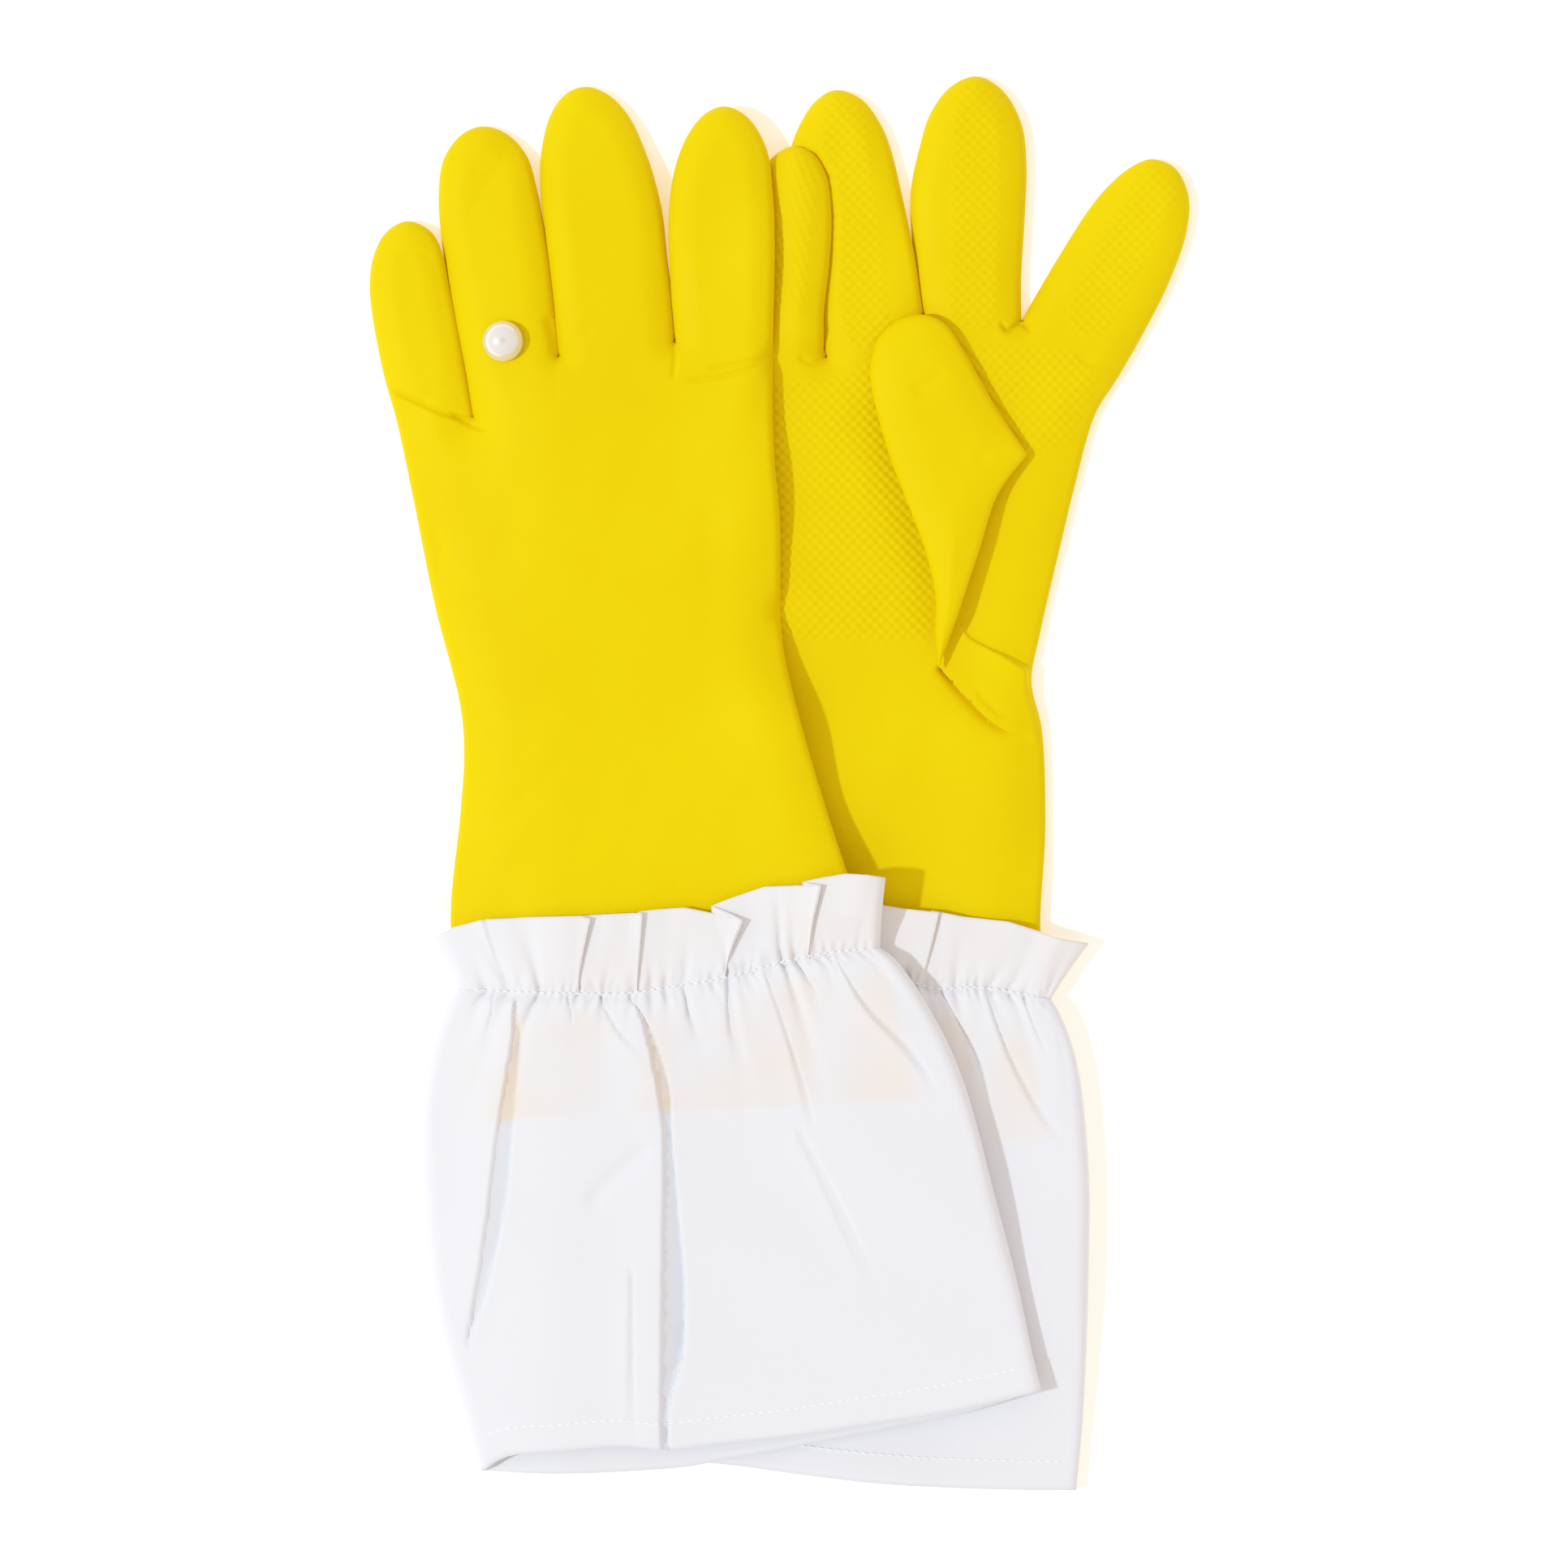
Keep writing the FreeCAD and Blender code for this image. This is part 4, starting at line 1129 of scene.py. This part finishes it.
def frill_piece(name):
    """The frill above the gather, its upper layer pleated and its lower layer plain."""
    sleeve = SLEEVES[name]
    foot, edge, stand = frill_run(name)
    gather = sleeve["paths"]["gather"]
    across = gather.near(foot)[2]
    count = len(foot)
    lower_count = count // 3
    lower_across = np.linspace(1.0, 0.0, lower_count + 2)[1:-1]
    low_foot = gather.at(lower_across)
    low_edge = interpolated(lower_across, [0, 1], edge[[0, -1]])
    low_edge[:, 1] += 6.0 * np.sin(math.pi * lower_across) * 0.6
    rows = np.concatenate([[-0.05], np.linspace(0.0, 1.0, 26) ** 1.1])
    points = []
    for row in rows:
        flat = foot * (1 - row) + edge * row
        flat[:, 0] += 0.5 * np.sin(math.pi * row) * np.sin(across * 37.0)
        tucked = FRILL_TUCK * (row < 0.0)
        away = np.full(count, abs(row) * FRILL_HEIGHT)
        sides = np.minimum(across, 1.0 - across) * gather.length
        full = rim(sides + 0.15 * row, EDGE_FOLD)
        thick = pinched(away) + 0.25 * row
        floor = sleeve_floor(sleeve, flat)
        relief = gathers(sleeve, across, away * 1.4) * smooth(sides / 3.0) * gather_calm(away)
        standing = FRILL_STAND * stand * max(row, 0.0) ** 0.8 * smooth(sides / 6.0)
        relief += standing + 0.25 * np.sin(across * 61.0) * row
        if name == "left":
            relief += edge_waves(flat)
        relief -= tucked
        points.append(np.column_stack([flat, floor + thick * (0.5 + 0.5 * full) + relief]))
        flat = low_foot * (1 - row) + low_edge * row
        sides = np.minimum(lower_across, 1.0 - lower_across) * gather.length
        wave = 0.4 * np.sin(lower_across * 40.0) * row
        thick = pinched(np.full(lower_count, abs(row) * FRILL_HEIGHT))
        z = sleeve_floor(sleeve, flat) + thick * (0.5 - 0.5 * rim(sides, EDGE_FOLD)) + np.abs(wave) * 0.4
        points.append(np.column_stack([flat, z]))
    points = np.vstack(points)
    piece = make_mesh(name + "_frill", points, grid_faces(len(rows), count + lower_count))
    set_tint(piece, np.full(len(points), FRILL_TINT))
    thicken(piece)
    return piece


# ---------------------------------------------------------------- stitches and elastic

THREAD_RADIUS = 0.28


def stitch_row(name, starts, ends):
    """A row of short stitches, each a bent capsule lying on the cloth."""
    points, faces = [], []
    sides, rings = 6, (0.0, 0.12, 0.5, 0.88, 1.0)
    for a, b in zip(starts, ends):
        base = len(points)
        run = (b - a) / np.linalg.norm(b - a)
        beside = np.cross(run, [0.0, 0.0, 1.0])
        beside /= np.linalg.norm(beside)
        up = np.cross(beside, run)
        for share in rings:
            thickness = THREAD_RADIUS * math.sin(math.pi * (0.12 + 0.76 * share))
            centre = a + (b - a) * share + up * 0.16 * math.sin(math.pi * share)
            for side in range(sides):
                angle = 2.0 * math.pi * side / sides
                points.append(centre + thickness * (beside * math.cos(angle) + up * math.sin(angle)))
        faces += [tuple(base + i for i in face) for face in grid_faces(len(rings), sides)]
        faces.append(tuple(base + side for side in range(sides))[::-1])
        faces.append(tuple(base + (len(rings) - 1) * sides + side for side in range(sides)))
    return make_mesh(name, np.array(points), faces)


HEM_PITCH, HEM_STITCH, HEM_LIFT = 2.5, 0.36, 0.02
GATHER_PITCH, GATHER_STITCH, GATHER_LIFT = 2.1, 0.33, 0.3


def stitches_round(name, count, down, half, lift):
    """The ends of stitches on both layers of a sleeve, at a share down it."""
    starts, ends = [], []
    for side in (1, -1):
        places = (np.arange(count) + 0.5) / count
        places = places[(places > 0.03) & (places < 0.97)]
        row = np.full(len(places), down)
        raised = np.array([0.0, 0.0, lift * side])
        starts += list(sleeve_point(name, places - half, row, side) + raised)
        ends += list(sleeve_point(name, places + half, row, side) + raised)
    return starts, ends


def hem_stitches(name):
    """Stitches round the sleeve a hem's depth above its edge."""
    paths = SLEEVES[name]["paths"]
    count = int(paths["front_hem"].length / HEM_PITCH)
    down = 1.0 - (HEM_DEEP - HEM_INSET) / paths["left"].length
    return stitch_row(name + "_hem_stitches",
                      *stitches_round(name, count, down, HEM_STITCH / count, HEM_LIFT))


def gather_stitches(name):
    """Stitches that hold the cloth to its elastic, along the gather."""
    count = int(SLEEVES[name]["paths"]["gather"].length / GATHER_PITCH)
    return stitch_row(name + "_gather_stitches",
                      *stitches_round(name, count, 0.0, GATHER_STITCH / count, GATHER_LIFT))


def elastic_piece(name):
    """The ribbed elastic band inside the gather."""
    across = np.linspace(0.02, 0.98, 150)
    rows = []
    for offset, inset in ((2.5, 1.0), (0.0, 1.1), (-2.5, 1.0), (-2.5, 1.5), (0.0, 1.6), (2.5, 1.5)):
        ring = []
        for side, places in ((1, across), (-1, across[::-1])):
            row = sleeve_point(name, places, np.zeros(len(places)), side)
            row[:, 1] += offset
            rib = 0.1 * np.sin(np.arange(len(places)) * math.pi / 2.0)
            row[:, 2] -= side * (inset + 0.9 + rib)
            ring.append(row)
        rows.append(np.vstack(ring))
    points = np.vstack(rows)
    return make_mesh(name + "_elastic_band", points, grid_faces(len(rows), len(rows[0]), wrapped=True))


# ---------------------------------------------------------------- materials

def new_material(name):
    """A node material and its shader."""
    made = bpy.data.materials.new(name)
    made.use_nodes = True
    return made, made.node_tree, made.node_tree.nodes["Principled BSDF"]


def add_node(tree, kind, **settings):
    """A node with its settings and input values."""
    node = tree.nodes.new(kind)
    for key, value in settings.items():
        if key in node.inputs:
            node.inputs[key].default_value = value
        else:
            setattr(node, key, value)
    return node


def noise(tree, scale, detail=3.0):
    """Noise over the object's own coordinates."""
    place = tree.nodes.get("place") or add_node(tree, "ShaderNodeTexCoord", name="place")
    made = add_node(tree, "ShaderNodeTexNoise", Scale=scale, Detail=detail)
    tree.links.new(place.outputs["Object"], made.inputs["Vector"])
    return made


def mixed_colour(tree, factor, first, second):
    """A colour between two, by a factor socket."""
    mix = add_node(tree, "ShaderNodeMix", data_type="RGBA")
    mix.inputs[6].default_value = (*first, 1.0)
    mix.inputs[7].default_value = (*second, 1.0)
    tree.links.new(factor, mix.inputs[0])
    return mix.outputs[2]


def spread(tree, socket, low=0.0, high=1.0, onto=(0.0, 1.0)):
    """A factor stretched from the range low to high onto another."""
    made = add_node(tree, "ShaderNodeMapRange")
    for key, value in zip(("From Min", "From Max", "To Min", "To Max"), (low, high, *onto)):
        made.inputs[key].default_value = value
    tree.links.new(socket, made.inputs["Value"])
    return made.outputs["Result"]


def bump_from(tree, shader, sockets):
    """Bumps in a chain: each a height socket, its strength and its distance in metres."""
    normal = None
    for height, strength, distance in sockets:
        made = add_node(tree, "ShaderNodeBump", Strength=strength, Distance=distance)
        tree.links.new(height, made.inputs["Height"])
        if normal is not None:
            tree.links.new(normal, made.inputs["Normal"])
        normal = made.outputs["Normal"]
    tree.links.new(normal, shader.inputs["Normal"])


YELLOW = (0.765, 0.540, 0.0008)
YELLOW_DEEP = (0.735, 0.500, 0.0006)


def latex_material():
    """Dipped yellow latex: matte, a little uneven in colour, with a fine pebbled skin."""
    made, tree, shader = new_material("yellow_latex")
    clouds = noise(tree, 22.0, 4.0)
    colour = mixed_colour(tree, spread(tree, clouds.outputs["Fac"], 0.35, 0.7), YELLOW, YELLOW_DEEP)
    tree.links.new(colour, shader.inputs["Base Color"])
    pebble = noise(tree, 1500.0, 2.0)
    dips = noise(tree, 90.0, 3.0)
    tree.links.new(spread(tree, dips.outputs["Fac"], onto=(0.52, 0.66)), shader.inputs["Roughness"])
    shader.inputs["Specular IOR Level"].default_value = 0.03
    bump_from(tree, shader, [(dips.outputs["Fac"], 0.12, 0.0008), (pebble.outputs["Fac"], 0.16, 0.0002)])
    return made


# CREAM is mixed in where rubber shows through the cloth, and as painted shade on the pleats' slopes
WHITE = (0.735, 0.742, 0.775)
CREAM = (0.785, 0.672, 0.560)


def cotton_material():
    """White cotton poplin with a fine plain weave, warmer where rubber shows through it, and warmer still on
    the pleats' slopes as painted shade.
    """
    made, tree, shader = new_material("white_cotton")
    mark = add_node(tree, "ShaderNodeAttribute", attribute_name="tint")
    blotch = noise(tree, 30.0, 3.0)
    uneven = add_node(tree, "ShaderNodeMath", operation="MULTIPLY")
    tree.links.new(mark.outputs["Fac"], uneven.inputs[0])
    tree.links.new(spread(tree, blotch.outputs["Fac"], 0.3, 0.6), uneven.inputs[1])
    colour = mixed_colour(tree, uneven.outputs["Value"], WHITE, CREAM)
    tree.links.new(colour, shader.inputs["Base Color"])
    place = tree.nodes["place"]
    weave = None
    for direction in ("X", "Y"):
        wave = add_node(tree, "ShaderNodeTexWave", bands_direction=direction, Scale=520.0, Distortion=1.2)
        tree.links.new(place.outputs["Object"], wave.inputs["Vector"])
        if weave is None:
            weave = wave.outputs["Fac"]
        else:
            both = add_node(tree, "ShaderNodeMath", operation="MULTIPLY")
            tree.links.new(weave, both.inputs[0])
            tree.links.new(wave.outputs["Fac"], both.inputs[1])
            weave = both.outputs["Value"]
    shader.inputs["Roughness"].default_value = 0.85
    shader.inputs["Specular IOR Level"].default_value = 0.15
    shader.inputs["Sheen Weight"].default_value = 0.08
    crumple = noise(tree, 240.0, 3.0)
    bump_from(tree, shader, [(crumple.outputs["Fac"], 0.1, 0.0006), (weave, 0.25, 0.00012)])
    return made


def grained_material(name, grain, colours, inputs, bump=None, contrast=None):
    """A material whose colour runs between two with a noise of some scale and detail. The noise can
    also raise the surface by a strength and a distance."""
    made, tree, shader = new_material(name)
    height = noise(tree, *grain).outputs["Fac"]
    share = spread(tree, height, *contrast) if contrast else height
    tree.links.new(mixed_colour(tree, share, *colours), shader.inputs["Base Color"])
    for socket, value in inputs.items():
        shader.inputs[socket].default_value = value
    if bump:
        bump_from(tree, shader, [(height, *bump)])
    return made


def thread_material():
    """Bright white sewing thread, twisted."""
    return grained_material("white_thread", (2600.0, 2.0), ((0.94, 0.93, 0.93), (0.86, 0.86, 0.87)),
                            {"Roughness": 0.6}, bump=(0.3, 0.0001))


def elastic_material():
    """White knitted elastic."""
    return grained_material("knitted_elastic", (900.0, 2.0), ((0.72, 0.72, 0.73), (0.60, 0.60, 0.62)),
                            {"Roughness": 0.8}, bump=(0.4, 0.0003))


def pearl_material():
    """A cream pearl: lustrous layers that mirror softly."""
    lustre = {"Metallic": 0.5, "Roughness": 0.2, "Coat Weight": 0.8, "Coat Roughness": 0.08}
    return grained_material("pearl", (130.0, 4.0), ((0.80, 0.76, 0.71), (0.84, 0.78, 0.74)), lustre,
                            bump=(0.03, 0.0004), contrast=(0.3, 0.7))


def steel_material():
    """Brushed stainless steel for the pearl's post and backing."""
    return grained_material("steel", (800.0, 3.0), ((0.60, 0.60, 0.62), (0.50, 0.50, 0.52)),
                            {"Metallic": 1.0, "Roughness": 0.32}, bump=(0.08, 0.0001))


def floor_material():
    """A plain white sweep, with a faint warm glow that its shadows show."""
    sweep = {"Roughness": 0.9, "Specular IOR Level": 0.0,
             "Emission Color": (1.0, 0.76, 0.42, 1.0), "Emission Strength": 0.34}
    return grained_material("white_floor", (60.0, 2.0), ((0.97, 0.97, 0.97), (0.96, 0.96, 0.96)), sweep)


# ---------------------------------------------------------------- assembly

THUMB_BEND, SKIRT_BEND = 4.5, -6.0       # how far from its fold a piece would start to bend
POCKET_DEPTH = 14.0
ROLL_RADIUS = 1.05


def finish_piece(piece, material, replaced, body=None):
    """Paints a piece, hides the CAD nodes it stands for, and fixes it to a body if one is given."""
    piece.data.materials.append(material)
    if replaced:
        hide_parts(*replaced)
    if body:
        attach(piece, body)
    return piece


def fold_points(body, bend):
    """Where a piece would start and stop bending about the joint of a body: two points a bend away on each
    side of it.
    """
    joint = next(j for j in frame["joints"] if j["child"] == body)
    anchor = np.array(joint["pos_m"], float)
    axis = np.array(joint["axis"], float)
    run = np.cross([0.0, 0.0, 1.0], axis)
    run /= np.linalg.norm(run)
    if run[1] < 0:
        run = -run
    return anchor - run * bend * MM, anchor + run * bend * MM


def bend_piece(piece, child, bend):
    """Finds where a piece would bend about a body's joint, and bakes the piece's place into its points."""
    start, end = fold_points(child, bend)
    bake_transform(piece)


def build_glove(name, latex, cotton, thread, elastic):
    """All visible pieces of one glove."""
    body = name + "_glove"
    skins, ring = glove_skin(name)
    hand_nodes = [name + "_palm_panel", name + "_back_panel"]
    if name == "right":
        hand_nodes += ["right_ring_finger", "right_little_finger"]
    for part, (points, faces, normals) in skins.items():
        if part == "hand":
            hand = make_mesh(name + "_hand", points, faces.tolist(), normals)
            finish_piece(hand, latex, hand_nodes, body)
            continue
        finger = f"{name}_{part}"
        piece = make_mesh(finger + "_skin", points, faces.tolist(), normals)
        finish_piece(piece, latex, [finger + "_finger"])
        bend_piece(piece, finger, FOLD_BENDS[finger])

    pocket = make_mesh(name + "_cuff_lining", *lining(ring, POCKET_DEPTH))
    finish_piece(pocket, latex, [], body)
    bead = make_mesh(name + "_cuff_roll", *tube(ring, ROLL_RADIUS))
    finish_piece(bead, latex, [name + "_cuff_bead"], body)
    thumb = thumb_piece(name + "_thumb_skin", name == "right")
    finish_piece(thumb, latex, [name + "_thumb", name + "_thumb_hood"])
    bend_piece(thumb, name + "_thumb", THUMB_BEND)

    sleeve = finish_piece(sleeve_piece(name), cotton,
                          [f"{name}_sleeve_{part}" for part in
                           ("upper_top", "upper_under", "skirt_top", "skirt_under", "hem")])
    skirt_body = body
    if name == "left":
        skirt_body = "left_sleeve_skirt"
        bend_piece(sleeve, skirt_body, SKIRT_BEND)
    else:
        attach(sleeve, body)
    frill_nodes = [name + "_frill_top", name + "_frill_under"]
    frill = finish_piece(frill_piece(name), cotton, frill_nodes, body)
    hem = finish_piece(hem_stitches(name), thread, [name + "_hem_thread"], skirt_body)
    row = finish_piece(gather_stitches(name), thread, [name + "_gather_thread"], body)
    band = finish_piece(elastic_piece(name), elastic, [name + "_elastic"], body)


def paint_pearl():
    """Finishes the pearl's setting, which keeps its CAD shapes."""
    pearl, steel = pearl_material(), steel_material()
    for node, material in (("left_pearl", pearl), ("left_pearl_post", steel), ("left_pearl_backing", steel)):
        shown = frame["nodes"][node]
        shown.data.materials.clear()
        shown.data.materials.append(material)
        shown.data.shade_smooth()


# ---------------------------------------------------------------- the studio

WORLD_LIGHT = 0.76
WORLD_COLOUR = (1.07, 0.96, 0.90)
OVERHEAD_COLOUR = (0.55, 0.52, 0.50)
SUN_LIGHT = 1.75
SUN_COLOUR = (0.735, 0.88, 1.0)
SUN_HEIGHT, SUN_HEADING, SUN_SPREAD = 50.0, 7.0, 3.0     # degrees
HIGHLIGHTS = 1.0         # how strongly bright tones are pressed together
FLOOR_HALF = 3.0
FLOOR_DROP = 0.0002      # the floor lies just under the gloves
LENS, SENSOR = 200.0, 36.0
VIEW_HALF = 0.227        # half of the width that the camera shows
CAMERA_AIM = (0.00118, -0.00024, 0.006)


def tone():
    """A photograph's soft highlights: bright tones are pressed together below white."""
    settings = bpy.context.scene.view_settings
    settings.view_transform = "Standard"
    settings.use_curve_mapping = True
    line = settings.curve_mapping.curves[3]
    for place in np.arange(1, 10) / 10.0:
        line.points.new(place, (1.0 - math.exp(-HIGHLIGHTS * place)) / (1.0 - math.exp(-HIGHLIGHTS)))
    settings.curve_mapping.update()


def make_stage():
    """The floor, the lights and the camera."""
    size = FLOOR_HALF
    corners = [(-size, -size, 0), (size, -size, 0), (size, size, 0), (-size, size, 0)]
    data = bpy.data.meshes.new("floor")
    data.from_pydata(corners, [], [(0, 1, 2, 3)])
    floor = bpy.data.objects.new("floor", data)
    data.materials.append(floor_material())
    bpy.context.scene.collection.objects.link(floor)
    floor.location.z = -FLOOR_DROP

    world = bpy.data.worlds.new("studio")
    world.use_nodes = True
    tree = world.node_tree
    background = tree.nodes["Background"]
    background.inputs["Strength"].default_value = WORLD_LIGHT
    # the room is a little darker straight above, where the camera is
    ray = add_node(tree, "ShaderNodeTexCoord")
    parts = add_node(tree, "ShaderNodeSeparateXYZ")
    tree.links.new(ray.outputs["Generated"], parts.inputs[0])
    colour = mixed_colour(tree, spread(tree, parts.outputs["Z"], 0.93, 0.985), WORLD_COLOUR, OVERHEAD_COLOUR)
    tree.links.new(colour, background.inputs["Color"])
    bpy.context.scene.world = world

    sun = bpy.data.lights.new("key", "SUN")
    sun.energy = SUN_LIGHT
    sun.color = SUN_COLOUR
    sun.angle = math.radians(SUN_SPREAD)
    key = bpy.data.objects.new("key", sun)
    elevation, heading = math.radians(SUN_HEIGHT), math.radians(SUN_HEADING)
    run = Vector((math.cos(heading) * math.cos(elevation), math.sin(heading) * math.cos(elevation),
                  -math.sin(elevation)))
    key.rotation_mode = "QUATERNION"
    key.rotation_quaternion = run.to_track_quat("-Z", "Y")
    bpy.context.scene.collection.objects.link(key)

    lens = bpy.data.cameras.new("camera")
    lens.lens = LENS
    lens.sensor_width = SENSOR
    camera = bpy.data.objects.new("camera", lens)
    x, y, z = CAMERA_AIM
    camera.location = (x, y, z + VIEW_HALF * lens.lens / (lens.sensor_width / 2.0))
    bpy.context.scene.collection.objects.link(camera)
    bpy.context.scene.camera = camera
    lens.clip_end = 50.0
    tone()


latex, cotton, thread, elastic = latex_material(), cotton_material(), thread_material(), elastic_material()
for glove_name in ("right", "left"):
    build_glove(glove_name, latex, cotton, thread, elastic)
paint_pearl()
make_stage()
bpy.context.view_layer.update()
